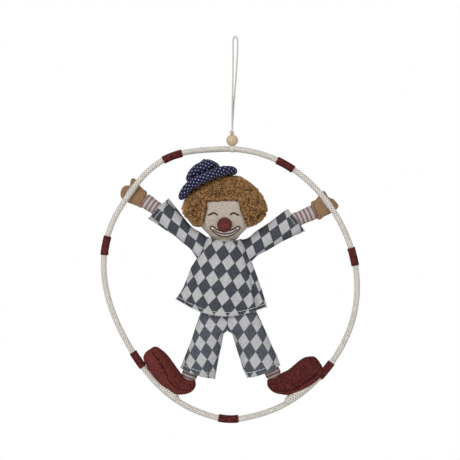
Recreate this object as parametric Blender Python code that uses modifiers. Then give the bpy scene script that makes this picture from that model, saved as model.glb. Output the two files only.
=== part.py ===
"""Baby mobile: a cloth clown spread inside a rope-covered hoop that hangs from a cord and a wooden bead.

Lengths are in metres and angles in degrees. The origin is the hook point under the top of the cord's loop,
+Z is up, +X is to the viewer's right and the clown faces -Y. Places on the clown are measured, across and
up, from a point in its middle that hangs a set drop below the tie on the hoop.
"""

import math

import bmesh
import bpy
from mathutils import Matrix, Vector

# Clearances and cloth
FIT_GAP = 0.0003
CLOTH = 0.0008

# Hanging cord, knot, bead and tie
CORD_RADIUS = 0.00065
CORD_SPACING = 0.0031
CORD_ROUTE = (
    (-0.0032, -0.00095, -0.0931),
    (-0.0032, -0.00095, -0.0840),
    (-0.0030, -0.00100, -0.0620),
    (-0.0025, -0.00100, -0.0400),
    (-0.0022, -0.00060, -0.0200),
    (-0.0023, -0.00020, -0.0070),
    (-0.0019, 0.00000, -0.0016),
    (0.0000, 0.00000, 0.00065),
    (0.0019, 0.00000, -0.0016),
    (0.0023, 0.00020, -0.0070),
    (0.0016, 0.00060, -0.0240),
    (0.0004, 0.00100, -0.0420),
    (-0.0014, 0.00100, -0.0640),
    (-0.0026, 0.00100, -0.0820),
    (-0.0032, 0.00095, -0.0931),
)
STRAND_GAP = 0.0006
KNOT_RADIUS = 0.0022
BEAD_RADIUS = 0.0059
BEAD_BORE_EASE = 0.0004
BEAD_MOUTH_FLARE = 0.0012
TIE_SPACING = 0.0014
TIE_WRAP = (125, 416, 29)

# Hoop: a bent ring that is slightly out of round, with its rope sleeve and bands
HOOP_RADIUS = 0.1291
HOOP_OVAL = 0.0056
HOOP_OVAL_AXIS = 111.0
HOOP_LOBE = 0.0020
HOOP_LOBE_AXIS = 28.6
HOOP_CORNER = 0.00155
HOOP_CORNER_AXIS = -10.4
HOOP_SHOULDER = 0.0057
HOOP_SHOULDER_AXIS = 119.5
HOOP_SHOULDER_SPREAD = 26.0
HOOP_JOIN_BULGE = 0.0014
HOOP_JOIN_SPREAD = 14.0
HOOP_STEPS = 64
TIE_ANGLE = 89.4
BODY_DROP = 0.1324
BODY_SHIFT = 0.0014
ROPE_RADIUS = 0.0028
WIRE_RADIUS = 0.0013
WIRE_EASE = 0.0005
FERRULE_LENGTH = 0.0080
FERRULE_WALL = 0.0006
BAND_LENGTH = 0.0188
BAND_WALL = 0.0007
BAND_ANGLES = (115.0, 65.0, 11.5, -43.0, -91.0, -140.0, 164.0)
JOIN_BAND = 4

# Torso and neck; the outline gives the half width at shares of the way down
TORSO_TOP = 0.0370
TORSO_BOTTOM = -0.0465
TORSO_TOP_X = -0.0074
TORSO_BOTTOM_X = -0.0025
SHOULDER_HALF = 0.0175
CHEST_HALF = 0.0200
HIP_HALF = 0.0240
TORSO_FLATTEN = 0.50
TORSO_OUTLINE = (
    (0.000, SHOULDER_HALF * 0.35),
    (0.025, SHOULDER_HALF * 0.70),
    (0.075, SHOULDER_HALF),
    (0.200, CHEST_HALF),
    (0.400, CHEST_HALF),
    (0.620, (CHEST_HALF + HIP_HALF) * 0.5),
    (0.800, HIP_HALF),
    (0.930, HIP_HALF * 0.88),
    (0.985, HIP_HALF * 0.55),
    (1.000, HIP_HALF * 0.25),
)
NECK_X = -0.0063
NECK_Y = -0.0040
NECK_PIVOT_HEIGHT = 0.0360
NECK_BALL_RADIUS = 0.0100
NECK_TOP_RADIUS = 0.0120
NECK_RISE = 0.0070
NECK_BALL_TOP = 20.0
NECK_EASE = 0.0006

# Head, hair and face
HEAD_HALF_WIDTH = 0.0245
HEAD_HALF_DEPTH = 0.0200
HEAD_HALF_HEIGHT = 0.0250
HEAD_POWER = 2.5
CHIN_FLAT = 0.0023
HAIR_HALF_WIDTH = 0.0420
HAIR_HALF_DEPTH = 0.0235
HAIR_HALF_HEIGHT = 0.0262
HAIR_RISE = 0.0122
HAIR_BACK = 0.0015
HAIR_CROWN_POWER = 1.9
HAIR_LOBE_POWER = 3.2
FACE_TOP_RISE = 0.0145
FACE_TOP_HALF = 0.0152
FACE_BOTTOM_HALF = 0.0262
FACE_CUT_DEPTH = 0.0080
NOSE_RADIUS = 0.0071
NOSE_DROP = 0.0092
NOSE_PROUD = 0.0030
THREAD_RADIUS = 0.00045
THREAD_SPACING = 0.0017
EYE_SPREAD = 0.0110
EYE_HALF_WIDTH = 0.0048
EYE_ARCH = 0.0024
EYE_RISE = -0.0002
MOUTH_HALF_WIDTH = 0.0148
MOUTH_SAG = 0.0082
MOUTH_DROP = 0.0127

# Cap
HAT_ANGLE = 122.0
HAT_TILT = 24.5
HAT_SHIFT = -0.0030
BRIM_HALF_LENGTH = 0.0318
BRIM_HALF_DEPTH = 0.0250
BRIM_HALF_THICKNESS = 0.0056
BRIM_DROOP = 0.0072
BRIM_FORWARD = 0.0015
CROWN_HALF_LENGTH = 0.0172
CROWN_HALF_DEPTH = 0.0165
CROWN_HALF_HEIGHT = 0.0118
CROWN_SHIFT = 0.0015
CROWN_SEAT = 0.0010
HAT_POWER = 2.3

# Tunic
TUNIC_TOP = 0.0408
TUNIC_HEM = -0.0346
TUNIC_TOP_X = -0.0068
TUNIC_HEM_X = -0.0093
COLLAR_HALF = 0.0173
COLLAR_EASE = 0.0024
COLLAR_RISE = 0.0030
ARMPIT_HALF = 0.0273
ARMPIT_SHARE = 0.25
HEM_HALF = 0.0455
HEM_HALF_DEPTH = 0.0168
HEM_RISE = 0.0132
HEM_TILT = 0.0037
FLARE_POWER = 0.85
SIDE_SHARPNESS = 1.25
FOLD_COUNT = 7
FOLD_DEPTH = 0.12
FOLD_PHASE = 78.0
TUNIC_COLUMNS = 38
TUNIC_ROWS = 9

# Arms, sleeves and hands; the pairs are left then right, and the hand outline runs from the wrist
HAND_ANGLES = (137.5, 39.2)
HAND_REACH = 0.0165
HAND_THICKNESS = 0.0060
HAND_ROUND = 0.0012
HAND_HALF_WRIST = 0.0072
HAND_OUTLINE = (
    (0.0000, -HAND_HALF_WRIST),
    (0.0070, -0.0092),
    (0.0135, -0.0107),
    (0.0200, -0.0096),
    (0.0243, -0.0048),
    (0.0234, 0.0012),
    (0.0190, 0.0034),
    (0.0218, 0.0066),
    (0.0214, 0.0106),
    (0.0174, 0.0115),
    (0.0120, 0.0096),
    (0.0055, 0.0076),
    (0.0000, HAND_HALF_WRIST),
)
ARM_ROOT_INSET = 0.0088
ARM_ROOT_HEIGHT = 0.0245
ARM_RADIUS = 0.0070
ARM_FLATTEN = 0.85
ARM_EASE = 0.88
ARM_SWELL = ((0.0, 1.03), (0.35, 1.0), (0.65, 0.97), (0.9, 1.0), (1.0, 1.0))
SLEEVE_ROOT_OUT = (-0.0032, -0.0025)
SLEEVE_ROOT_HEIGHTS = (0.0340, 0.0322)
SLEEVE_TUCK = 0.0065
ARM_SHOW = (0.0156, 0.0197)
SLEEVE_ROOT_HALF = 0.0106
SLEEVE_WAIST_HALF = 0.0100
SLEEVE_CUFF_HALF = 0.0138
SLEEVE_FLATTEN = 0.75
HAND_STITCH_LENGTH = 0.0090
STITCH_WALL = 0.0005

# Trousers and legs
WAIST_TOP = -0.0220
WAIST_BOTTOM = -0.0500
WAIST_X = -0.0025
WAIST_EASE = 0.0048
WAIST_TOP_SHARE = 0.96
WAIST_SEAT_SHARE = 0.80
LINING_SPARE = 0.0060
TROUSER_HIPS = (-0.0165, 0.0115)
TROUSER_HIP_HEIGHT = -0.0360
HEM_INSIDE_ANKLE = (0.0119, 0.0134)
HEM_ABOVE_ANKLE = (0.0063, 0.0102)
TROUSER_HIP_HALF = 0.0148
TROUSER_KNEE_HALF = 0.0163
TROUSER_HEM_HALF = 0.0182
TROUSER_FLATTEN = 0.60
LEG_ROOT_SPREAD = 0.0130
LEG_ROOT_HEIGHT = -0.0360
LEG_RADIUS = 0.0078
LEG_FLATTEN = 0.85

# Shoes; foot angles are where the sole meets the hoop, and the outlines give shares of the way along,
# of the half height up to the middle and of the half height there
FOOT_ANGLES = (235.4, -57.3)
FOOT_TURN = 7.0
HEEL_REACH = 0.0260
TOE_REACH = 0.0290
SHOE_HEIGHT = 0.0232
SHOE_TOE_HEIGHT = 0.0236
SHOE_FLATTEN = 0.86
SHOE_HEEL_OUTLINE = (
    (0.00, 1.50, 0.20),
    (0.03, 1.40, 0.58),
    (0.12, 1.15, 0.88),
    (0.26, 1.03, 0.99),
    (0.47, 0.98, 0.96),
)
SHOE_TOE_OUTLINE = (
    (0.69, 1.08, 0.98),
    (0.84, 1.16, 0.92),
    (0.94, 1.23, 0.70),
    (1.00, 1.25, 0.28),
)
ANKLE_SETBACK = 0.0172
ANKLE_HEIGHT = 0.0186
FOOT_STITCH_LEAD = 4.5
FOOT_STITCH_HALF_ANGLE = 4.2
FOOT_STITCH_BULGE = 0.0014

SHARP_ANGLE = 45.0
ROUTE_STEPS = 40
TUBE_SIDES = 8
SOFT_RESOLUTION = 4
THIN_RESOLUTION = 2

SIDES = (("left", 0, -1.0), ("right", 1, 1.0))


def clear_scene():
    """Remove every object that the scene holds."""
    for thing in list(bpy.data.objects):
        bpy.data.objects.remove(thing)


def new_collection(name):
    """Make a collection under the scene's own."""
    group = bpy.data.collections.new(name)
    bpy.context.scene.collection.children.link(group)
    return group


def finish(name, colour, roughness, metallic=0.0):
    """Make a material with one colour."""
    material = bpy.data.materials.new(name)
    material.use_nodes = True
    shader = material.node_tree.nodes["Principled BSDF"]
    shader.inputs["Base Color"].default_value = (*colour, 1.0)
    shader.inputs["Roughness"].default_value = roughness
    shader.inputs["Metallic"].default_value = metallic
    return material


clear_scene()
PARTS = new_collection("baby_mobile")
CUTTERS = new_collection("cutters")

COTTON_CORD = ("cotton_cord", (0.59, 0.55, 0.51), 0.9)
PALE_WOOD = ("pale_wood", (0.46, 0.35, 0.24), 0.6)
STEEL = ("steel", (0.55, 0.55, 0.56), 0.35, 1.0)
ROPE = ("braided_rope", (0.50, 0.47, 0.42), 0.95)
RUST_FELT = ("rust_felt", (0.083, 0.022, 0.020), 0.95)
LINEN = ("cream_linen", (0.46, 0.40, 0.34), 0.95)
CURLS = ("brown_curls", (0.18, 0.095, 0.040), 0.95)
RED_FELT = ("red_felt", (0.112, 0.030, 0.025), 0.95)
DARK_THREAD = ("dark_thread", (0.05, 0.04, 0.035), 0.9)
BROWN_THREAD = ("brown_thread", (0.10, 0.035, 0.025), 0.9)
NAVY_DOTS = ("navy_cotton", (0.026, 0.026, 0.058), 0.95)
DIAMOND_CANVAS = ("diamond_canvas", (0.20, 0.21, 0.23), 0.95)
STRIPED_KNIT = ("striped_knit", (0.31, 0.25, 0.25), 0.95)
BROWN_COTTON = ("brown_cotton", (0.28, 0.18, 0.11), 0.95)


def cosine(angle):
    """Cosine of an angle in degrees."""
    return math.cos(math.radians(angle))


def sine(angle):
    """Sine of an angle in degrees."""
    return math.sin(math.radians(angle))


def blend(start, end, share):
    """Ease from one value to another as share goes from 0 to 1."""
    share = min(max(share, 0.0), 1.0)
    return start + (end - start) * share * share * (3.0 - 2.0 * share)


def smooth_points(points, per_span):
    """Points of a Catmull-Rom curve through the given points, which may carry a radius."""
    knots = [Vector(point) for point in points]
    first = knots[0] * 2.0 - knots[1]
    last = knots[-1] * 2.0 - knots[-2]
    knots = [first, *knots, last]
    curve = []
    for before, start, end, after in zip(knots, knots[1:], knots[2:], knots[3:]):
        for step in range(per_span):
            t = step / per_span
            turn = (end - before) * t
            bend = (before * 2.0 - start * 5.0 + end * 4.0 - after) * t ** 2
            close = (start * 3.0 - before - end * 3.0 + after) * t ** 3
            curve.append(start + (turn + bend + close) * 0.5)
    curve.append(knots[-2])
    return curve


def even_points(points, spacing):
    """Points at an even spacing along a smooth curve through the given points."""
    dense = smooth_points(points, ROUTE_STEPS)
    lengths = [0.0]
    for start, end in zip(dense, dense[1:]):
        lengths.append(lengths[-1] + (end - start).length)
    count = max(2, round(lengths[-1] / spacing))
    route = []
    place = 0
    for step in range(count + 1):
        target = lengths[-1] * step / count
        while place < len(dense) - 2 and lengths[place + 1] < target:
            place += 1
        share = (target - lengths[place]) / (lengths[place + 1] - lengths[place])
        route.append(dense[place].lerp(dense[place + 1], share))
    return route


def with_radius(points, radius):
    """Give each point of a route the same radius."""
    return [(point[0], point[1], point[2], radius) for point in points]


def mesh_from(bm, name):
    """Turn a bmesh into a mesh whose faces point out."""
    bmesh.ops.recalc_face_normals(bm, faces=bm.faces)
    mesh = bpy.data.meshes.new(name)
    bm.to_mesh(mesh)
    bm.free()
    return mesh


def curve_mesh(name, curve, matrix):
    """Turn a curve into a welded mesh placed by a matrix."""
    guide = bpy.data.objects.new(name, curve)
    bpy.context.scene.collection.objects.link(guide)
    graph = bpy.context.evaluated_depsgraph_get()
    shape = bpy.data.meshes.new_from_object(guide.evaluated_get(graph))
    bpy.data.objects.remove(guide)
    shape.transform(matrix)
    bm = bmesh.new()
    bm.from_mesh(shape)
    bmesh.ops.remove_doubles(bm, verts=bm.verts, dist=1e-6)
    bpy.data.meshes.remove(shape)
    return mesh_from(bm, name)


def tube_mesh(name, stations, flatten=1.0, caps=True, resolution=SOFT_RESOLUTION):
    """A tube along (x, y, z, radius) stations, squeezed in depth by flatten."""
    curve = bpy.data.curves.new(name, "CURVE")
    curve.dimensions = "3D"
    curve.bevel_depth = 1.0
    curve.bevel_resolution = resolution
    curve.use_fill_caps = caps
    spline = curve.splines.new("POLY")
    spline.points.add(len(stations) - 1)
    for point, (x, y, z, radius) in zip(spline.points, stations):
        point.co = (x, y / flatten, z, 1.0)
        point.radius = radius
    return curve_mesh(name, curve, Matrix.Diagonal((1.0, flatten, 1.0, 1.0)))


def ball_mesh(name, half, crown_power, base_power, segments=20, rings=12, floor=None):
    """A puffed ball: its outline above and below the middle is a superellipse of the given powers."""
    bm = bmesh.new()
    bmesh.ops.create_uvsphere(bm, u_segments=segments, v_segments=rings, radius=1.0)
    for vert in bm.verts:
        across = math.hypot(vert.co.x, vert.co.y)
        power = crown_power if vert.co.z > 0.0 else base_power
        swell = (across ** power + abs(vert.co.z) ** power) ** (-1.0 / power)
        vert.co = Vector((vert.co.x * half[0], vert.co.y * half[1], vert.co.z * half[2])) * swell
        if floor is not None:
            vert.co.z = max(vert.co.z, floor)
    return mesh_from(bm, name)


def turned(name, profile, steps, closed=False):
    """Spin a profile of (radius, height) points, listed from the top down, into a solid."""
    bm = bmesh.new()
    verts = [bm.verts.new((radius, 0.0, height)) for radius, height in profile]
    for start, end in zip(verts, verts[1:]):
        bm.edges.new((start, end))
    if closed:
        bm.edges.new((verts[-1], verts[0]))
    outline = bpy.data.meshes.new(name)
    bm.to_mesh(outline)
    bm.free()
    guide = bpy.data.objects.new(name, outline)
    bpy.context.scene.collection.objects.link(guide)
    spin = guide.modifiers.new("spin", "SCREW")
    spin.steps = steps
    spin.render_steps = steps
    spin.use_merge_vertices = True
    spin.merge_threshold = 0.00001
    graph = bpy.context.evaluated_depsgraph_get()
    shape = bpy.data.meshes.new_from_object(guide.evaluated_get(graph))
    bpy.data.objects.remove(guide)
    bm = bmesh.new()
    bm.from_mesh(shape)
    bmesh.ops.remove_doubles(bm, verts=bm.verts, dist=1e-6)
    bpy.data.meshes.remove(shape)
    return mesh_from(bm, name)


def moved(mesh, matrix):
    """Move a mesh by a matrix and return it."""
    mesh.transform(matrix)
    return mesh


def add_piece(name, mesh, look, pivot=None):
    """Add a mesh to the toy as a named piece, carried by a pivot if it moves."""
    piece = bpy.data.objects.new(name, mesh)
    mesh.materials.clear()
    mesh.materials.append(finish(*look) if look[0] not in bpy.data.materials else bpy.data.materials[look[0]])
    mesh.shade_smooth()
    mesh.set_sharp_from_angle(angle=math.radians(SHARP_ANGLE))
    PARTS.objects.link(piece)
    if pivot is not None:
        piece.parent = pivot
        piece.matrix_parent_inverse = Matrix.Translation(-Vector(pivot["place"]))
    return piece


def add_pivot(name, place, parent=None):
    """Add an empty on a joint's axis."""
    pivot = bpy.data.objects.new(name, None)
    PARTS.objects.link(pivot)
    pivot["place"] = tuple(place)
    pivot.location = place
    if parent is not None:
        pivot.parent = parent
        pivot.matrix_parent_inverse = Matrix.Translation(-Vector(parent["place"]))
    return pivot


def trim(piece, cutter_mesh, operation="DIFFERENCE"):
    """Cut a piece by a mesh, or join the mesh to it."""
    cutter = bpy.data.objects.new(f"{piece.name}_cutter", cutter_mesh)
    cutter.hide_render = True
    cutter.display_type = "WIRE"
    CUTTERS.objects.link(cutter)
    change = piece.modifiers.new("trim", "BOOLEAN")
    change.operation = operation
    change.solver = "EXACT"
    change.object = cutter


def thicken(piece, wall):
    """Give an open cloth surface its thickness, inwards."""
    shell = piece.modifiers.new("wall", "SOLIDIFY")
    shell.thickness = wall
    shell.offset = -1.0
    shell.use_even_offset = True


# Heights down the cord, from the hook to the hoop
STRAND_OFFSET = CORD_RADIUS + STRAND_GAP * 0.5
BEAD_BORE_RADIUS = STRAND_OFFSET + CORD_RADIUS + BEAD_BORE_EASE
BEAD_MOUTH_RADIUS = BEAD_BORE_RADIUS + BEAD_MOUTH_FLARE
BEAD_RIM = math.sqrt(BEAD_RADIUS ** 2 - BEAD_MOUTH_RADIUS ** 2)
TIE_RING = ROPE_RADIUS + FIT_GAP + CORD_RADIUS
CORD_END = Vector(CORD_ROUTE[0])
KNOT_CENTRE = Vector((CORD_END.x, 0.0, CORD_END.z - KNOT_RADIUS - FIT_GAP))
BEAD_CENTRE = KNOT_CENTRE - Vector((0.0, 0.0, KNOT_RADIUS + FIT_GAP + BEAD_RIM))
TIE_CENTRE = BEAD_CENTRE - Vector((0.0, 0.0, BEAD_RIM + TIE_RING))


def bulge_share(angle, axis, spread):
    """How much of a local bulge is left at an angle: all of it on its axis, none beyond its spread."""
    away = abs((angle - axis + 180.0) % 360.0 - 180.0)
    return cosine(90.0 * min(away / spread, 1.0)) ** 2


def hoop_radius(angle):
    """Distance from the hoop's centre to the middle of the rope."""
    oval = HOOP_OVAL * cosine(2.0 * (angle - HOOP_OVAL_AXIS))
    lobe = HOOP_LOBE * cosine(3.0 * (angle - HOOP_LOBE_AXIS))
    corner = HOOP_CORNER * cosine(4.0 * (angle - HOOP_CORNER_AXIS))
    shoulder = HOOP_SHOULDER * bulge_share(angle, HOOP_SHOULDER_AXIS, HOOP_SHOULDER_SPREAD)
    join = HOOP_JOIN_BULGE * bulge_share(angle, BAND_ANGLES[JOIN_BAND], HOOP_JOIN_SPREAD)
    return HOOP_RADIUS + oval + lobe + corner + shoulder + join


HOOP_CENTRE = TIE_CENTRE - Vector((cosine(TIE_ANGLE), 0.0, sine(TIE_ANGLE))) * hoop_radius(TIE_ANGLE)


def hoop_point(angle, inward=0.0):
    """A point of the rope's centre line, or inward of it."""
    reach = hoop_radius(angle) - inward
    return HOOP_CENTRE + Vector((cosine(angle), 0.0, sine(angle))) * reach


def hoop_arc(start, end, steps):
    """Points of the rope's centre line from one angle to another."""
    return [hoop_point(start + (end - start) * step / steps) for step in range(steps + 1)]


def hoop_degrees(length, angle):
    """The angle that a length of rope takes up near the given angle."""
    return math.degrees(length / hoop_radius(angle))


BODY_CENTRE = TIE_CENTRE - Vector((BODY_SHIFT, 0.0, BODY_DROP))


def on_toy(across, up, depth=0.0):
    """A point measured from the clown's middle."""
    return BODY_CENTRE + Vector((across, depth, up))


def station(point, radius):
    """A tube station at a point."""
    return (point.x, point.y, point.z, radius)


def across_flats(radius, sides):
    """Corner radius of a faceted tube whose flats lie at the given radius."""
    return radius / math.cos(math.pi / sides)


NECK_CENTRE = on_toy(NECK_X, NECK_PIVOT_HEIGHT, NECK_Y)
HEAD_FLOOR = HEAD_HALF_HEIGHT - CHIN_FLAT
HEAD_CENTRE = NECK_CENTRE + Vector((0.0, 0.0, NECK_RISE + FIT_GAP + HEAD_FLOOR))
HAIR_CENTRE = HEAD_CENTRE + Vector((0.0, HAIR_BACK, HAIR_RISE))

ROCK_PIVOT = add_pivot("hoop_rock_pivot", KNOT_CENTRE)
TWIST_PIVOT = add_pivot("hoop_twist_pivot", BEAD_CENTRE, ROCK_PIVOT)
BEAD_PIVOT = add_pivot("bead_spin_pivot", BEAD_CENTRE, TWIST_PIVOT)
TILT_PIVOT = add_pivot("hoop_tilt_pivot", TIE_CENTRE, TWIST_PIVOT)
NOD_PIVOT = add_pivot("head_nod_pivot", NECK_CENTRE, TILT_PIVOT)
TURN_PIVOT = add_pivot("head_turn_pivot", HEAD_CENTRE, NOD_PIVOT)


def build_cord():
    """The doubled cord, the knot that closes it, the bead and the tie round the hoop."""
    route = with_radius(even_points(CORD_ROUTE, CORD_SPACING), CORD_RADIUS)
    add_piece("hanging_cord", tube_mesh("hanging_cord", route, resolution=THIN_RESOLUTION), COTTON_CORD)

    knot = ball_mesh("cord_knot", (KNOT_RADIUS,) * 3, 2.0, 2.0, 12, 8)
    add_piece("cord_knot", moved(knot, Matrix.Translation(KNOT_CENTRE)), COTTON_CORD, ROCK_PIVOT)

    rim_angle = math.degrees(math.acos(BEAD_MOUTH_RADIUS / BEAD_RADIUS))
    arc_steps = 8
    arc = [rim_angle * (1.0 - 2.0 * step / arc_steps) for step in range(arc_steps + 1)]
    profile = [(BEAD_RADIUS * cosine(angle), BEAD_RADIUS * sine(angle)) for angle in arc]
    cone = BEAD_RIM - BEAD_MOUTH_FLARE
    profile += [(BEAD_BORE_RADIUS, -cone), (BEAD_BORE_RADIUS, cone)]
    bead = turned("wooden_bead", profile, 20, closed=True)
    add_piece("wooden_bead", moved(bead, Matrix.Translation(BEAD_CENTRE)), PALE_WOOD, BEAD_PIVOT)

    strand_top = KNOT_CENTRE.z - KNOT_RADIUS - FIT_GAP
    throat = BEAD_CENTRE.z - cone
    loop = [TIE_CENTRE + Vector((0.0, cosine(angle), sine(angle))) * TIE_RING for angle in range(*TIE_WRAP)]
    front = [Vector((TIE_CENTRE.x, -STRAND_OFFSET, height)) for height in (strand_top, throat)]
    back = [Vector((TIE_CENTRE.x, STRAND_OFFSET, height)) for height in (throat, strand_top)]
    tie = with_radius(even_points(front + loop + back, TIE_SPACING), CORD_RADIUS)
    add_piece("tie_loop", tube_mesh("tie_loop", tie, resolution=THIN_RESOLUTION), COTTON_CORD, TWIST_PIVOT)


def sleeve_on_rope(name, angle, length, wall, steps, look):
    """A short tube of the given wall that fits round the rope."""
    half = hoop_degrees(length, angle) * 0.5
    corner = across_flats(ROPE_RADIUS + FIT_GAP + wall, TUBE_SIDES)
    stations = with_radius(hoop_arc(angle - half, angle + half, steps), corner)
    sleeve = tube_mesh(name, stations, caps=False, resolution=THIN_RESOLUTION)
    thicken(add_piece(name, sleeve, look, TILT_PIVOT), wall)


def build_hoop():
    """The steel ring with its ferrule, the rope sleeve and the felt bands."""
    join = BAND_ANGLES[JOIN_BAND]
    wire_gap = hoop_degrees(FIT_GAP, join) * 0.5
    wire = with_radius(hoop_arc(join + wire_gap, join + 360.0 - wire_gap, HOOP_STEPS), WIRE_RADIUS)
    add_piece("hoop_wire", tube_mesh("hoop_wire", wire, resolution=1), STEEL, TILT_PIVOT)

    half = hoop_degrees(FERRULE_LENGTH, join) * 0.5
    corner = across_flats(WIRE_RADIUS + FIT_GAP + FERRULE_WALL, TUBE_SIDES)
    crimp = with_radius(hoop_arc(join - half, join + half, 2), corner)
    ferrule = tube_mesh("wire_ferrule", crimp, caps=False, resolution=THIN_RESOLUTION)
    thicken(add_piece("wire_ferrule", ferrule, STEEL, TILT_PIVOT), FERRULE_WALL)

    open_half = half + hoop_degrees(FIT_GAP, join)
    route = with_radius(hoop_arc(join + open_half, join + 360.0 - open_half, HOOP_STEPS), ROPE_RADIUS)
    rope = tube_mesh("hoop_rope", route, caps=False, resolution=THIN_RESOLUTION)
    rope_wall = ROPE_RADIUS * math.cos(math.pi / TUBE_SIDES) - WIRE_RADIUS - WIRE_EASE
    thicken(add_piece("hoop_rope", rope, ROPE, TILT_PIVOT), rope_wall)

    for number, angle in enumerate(BAND_ANGLES, start=1):
        sleeve_on_rope(f"hoop_band_{number}", angle, BAND_LENGTH, BAND_WALL, 4, RUST_FELT)


def torso_x(height):
    """Where the leaning torso's middle lies at a height."""
    share = (TORSO_TOP - height) / (TORSO_TOP - TORSO_BOTTOM)
    return TORSO_TOP_X + (TORSO_BOTTOM_X - TORSO_TOP_X) * share


def torso_mesh(name, grow=0.0):
    """The stuffed torso: shoulders, chest and wider hips."""
    length = TORSO_TOP - TORSO_BOTTOM
    stations = []
    for share, half in TORSO_OUTLINE:
        height = TORSO_TOP + grow - (length + 2.0 * grow) * share
        point = on_toy(torso_x(height), height)
        stations.append(station(point, half + grow / TORSO_FLATTEN))
    return tube_mesh(name, smooth_points(stations, 2), TORSO_FLATTEN)


def build_torso():
    """The torso, with the socket where the neck turns, and the neck."""
    torso = add_piece("torso", torso_mesh("torso"), LINEN, TILT_PIVOT)
    socket = ball_mesh("neck_socket", (NECK_BALL_RADIUS + NECK_EASE,) * 3, 2.0, 2.0, 16, 8)
    trim(torso, moved(socket, Matrix.Translation(NECK_CENTRE)))

    ball_steps = 8
    profile = [(0.0, NECK_RISE), (NECK_TOP_RADIUS, NECK_RISE)]
    for step in range(ball_steps):
        angle = NECK_BALL_TOP - (90.0 + NECK_BALL_TOP) * step / ball_steps
        profile.append((NECK_BALL_RADIUS * cosine(angle), NECK_BALL_RADIUS * sine(angle)))
    profile.append((0.0, -NECK_BALL_RADIUS))
    neck = turned("neck", profile, 16)
    add_piece("neck", moved(neck, Matrix.Translation(NECK_CENTRE)), LINEN, NOD_PIVOT)


def head_mesh(name, grow=0.0):
    """The stuffed head with its flat underside."""
    half = (HEAD_HALF_WIDTH + grow, HEAD_HALF_DEPTH + grow, HEAD_HALF_HEIGHT + grow)
    head = ball_mesh(name, half, HEAD_POWER, HEAD_POWER, 22, 14, -HEAD_FLOOR - grow)
    return moved(head, Matrix.Translation(HEAD_CENTRE))


def hair_mesh(name, grow=0.0):
    """The outside of the hair: round on top, with full lobes at the sides."""
    half = (HAIR_HALF_WIDTH + grow, HAIR_HALF_DEPTH + grow, HAIR_HALF_HEIGHT + grow)
    hair = ball_mesh(name, half, HAIR_CROWN_POWER, HAIR_LOBE_POWER, 24, 12)
    return moved(hair, Matrix.Translation(HAIR_CENTRE))


def face_point(across, up, proud):
    """A point on the front of the face, measured from the head's centre."""
    ring = max(1.0 - (abs(up) / HEAD_HALF_HEIGHT) ** HEAD_POWER, 0.0) ** (1.0 / HEAD_POWER)
    inside = max(ring ** 2 - (across / HEAD_HALF_WIDTH) ** 2, 0.0)
    return HEAD_CENTRE + Vector((across, -HEAD_HALF_DEPTH * math.sqrt(inside) - proud, up))


def stitched_line(name, points, look):
    """A line of thread that lies on the face."""
    proud = THREAD_RADIUS + FIT_GAP
    route = [face_point(across, up, proud) for across, up in points]
    thread = with_radius(even_points(route, THREAD_SPACING), THREAD_RADIUS)
    add_piece(name, tube_mesh(name, thread, resolution=1), look, TURN_PIVOT)


def build_head():
    """The head with its hair, nose and stitched eyes and mouth."""
    add_piece("head", head_mesh("head"), LINEN, TURN_PIVOT)

    hair = add_piece("hair", hair_mesh("hair"), CURLS, TURN_PIVOT)
    trim(hair, head_mesh("hair_lining", FIT_GAP))
    bm = bmesh.new()
    bmesh.ops.create_cube(bm, size=2.0)
    top = FACE_TOP_RISE
    bottom = -HEAD_HALF_HEIGHT
    front = HEAD_HALF_DEPTH + HAIR_HALF_DEPTH
    for vert in bm.verts:
        half = FACE_TOP_HALF if vert.co.z > 0.0 else FACE_BOTTOM_HALF
        depth = -FACE_CUT_DEPTH if vert.co.y > 0.0 else -front
        vert.co = HEAD_CENTRE + Vector((vert.co.x * half, depth, top if vert.co.z > 0.0 else bottom))
    trim(hair, mesh_from(bm, "face_opening"))

    nose_at = face_point(0.0, -NOSE_DROP, NOSE_PROUD)
    nose_ball = ball_mesh("nose", (NOSE_RADIUS,) * 3, 2.0, 2.0, 14, 8)
    nose = add_piece("nose", moved(nose_ball, Matrix.Translation(nose_at)), RED_FELT, TURN_PIVOT)
    trim(nose, head_mesh("nose_seat", FIT_GAP))

    for name, _, side in SIDES:
        arch = [(side * EYE_SPREAD + EYE_HALF_WIDTH * share, EYE_RISE + EYE_ARCH * (1.0 - share ** 2))
                for share in (-1.0, -0.5, 0.0, 0.5, 1.0)]
        stitched_line(f"eye_{name}", arch, DARK_THREAD)
    smile = [(MOUTH_HALF_WIDTH * share, -MOUTH_DROP - MOUTH_SAG * (1.0 - share ** 2))
             for share in (-1.0, -0.75, -0.4, 0.0, 0.4, 0.75, 1.0)]
    stitched_line("mouth", smile, BROWN_THREAD)


def hair_edge(angle):
    """Where the hair's outline lies in a direction from its centre."""
    across = abs(cosine(angle))
    up = abs(sine(angle))
    power = HAIR_CROWN_POWER
    reach = ((across / HAIR_HALF_WIDTH) ** power + (up / HAIR_HALF_HEIGHT) ** power) ** (-1.0 / power)
    return HAIR_CENTRE + Vector((cosine(angle), 0.0, sine(angle))) * reach


def brim_mesh(name, grow=0.0):
    """The padded brim, drooping at its ends, tilted on the hair."""
    half = (BRIM_HALF_LENGTH + grow, BRIM_HALF_DEPTH + grow, BRIM_HALF_THICKNESS + grow)
    brim = ball_mesh(name, half, HAT_POWER, HAT_POWER, 24, 8)
    for vert in brim.vertices:
        vert.co.z -= BRIM_DROOP * (vert.co.x / BRIM_HALF_LENGTH) ** 2
    return moved(brim, hat_matrix())


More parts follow.
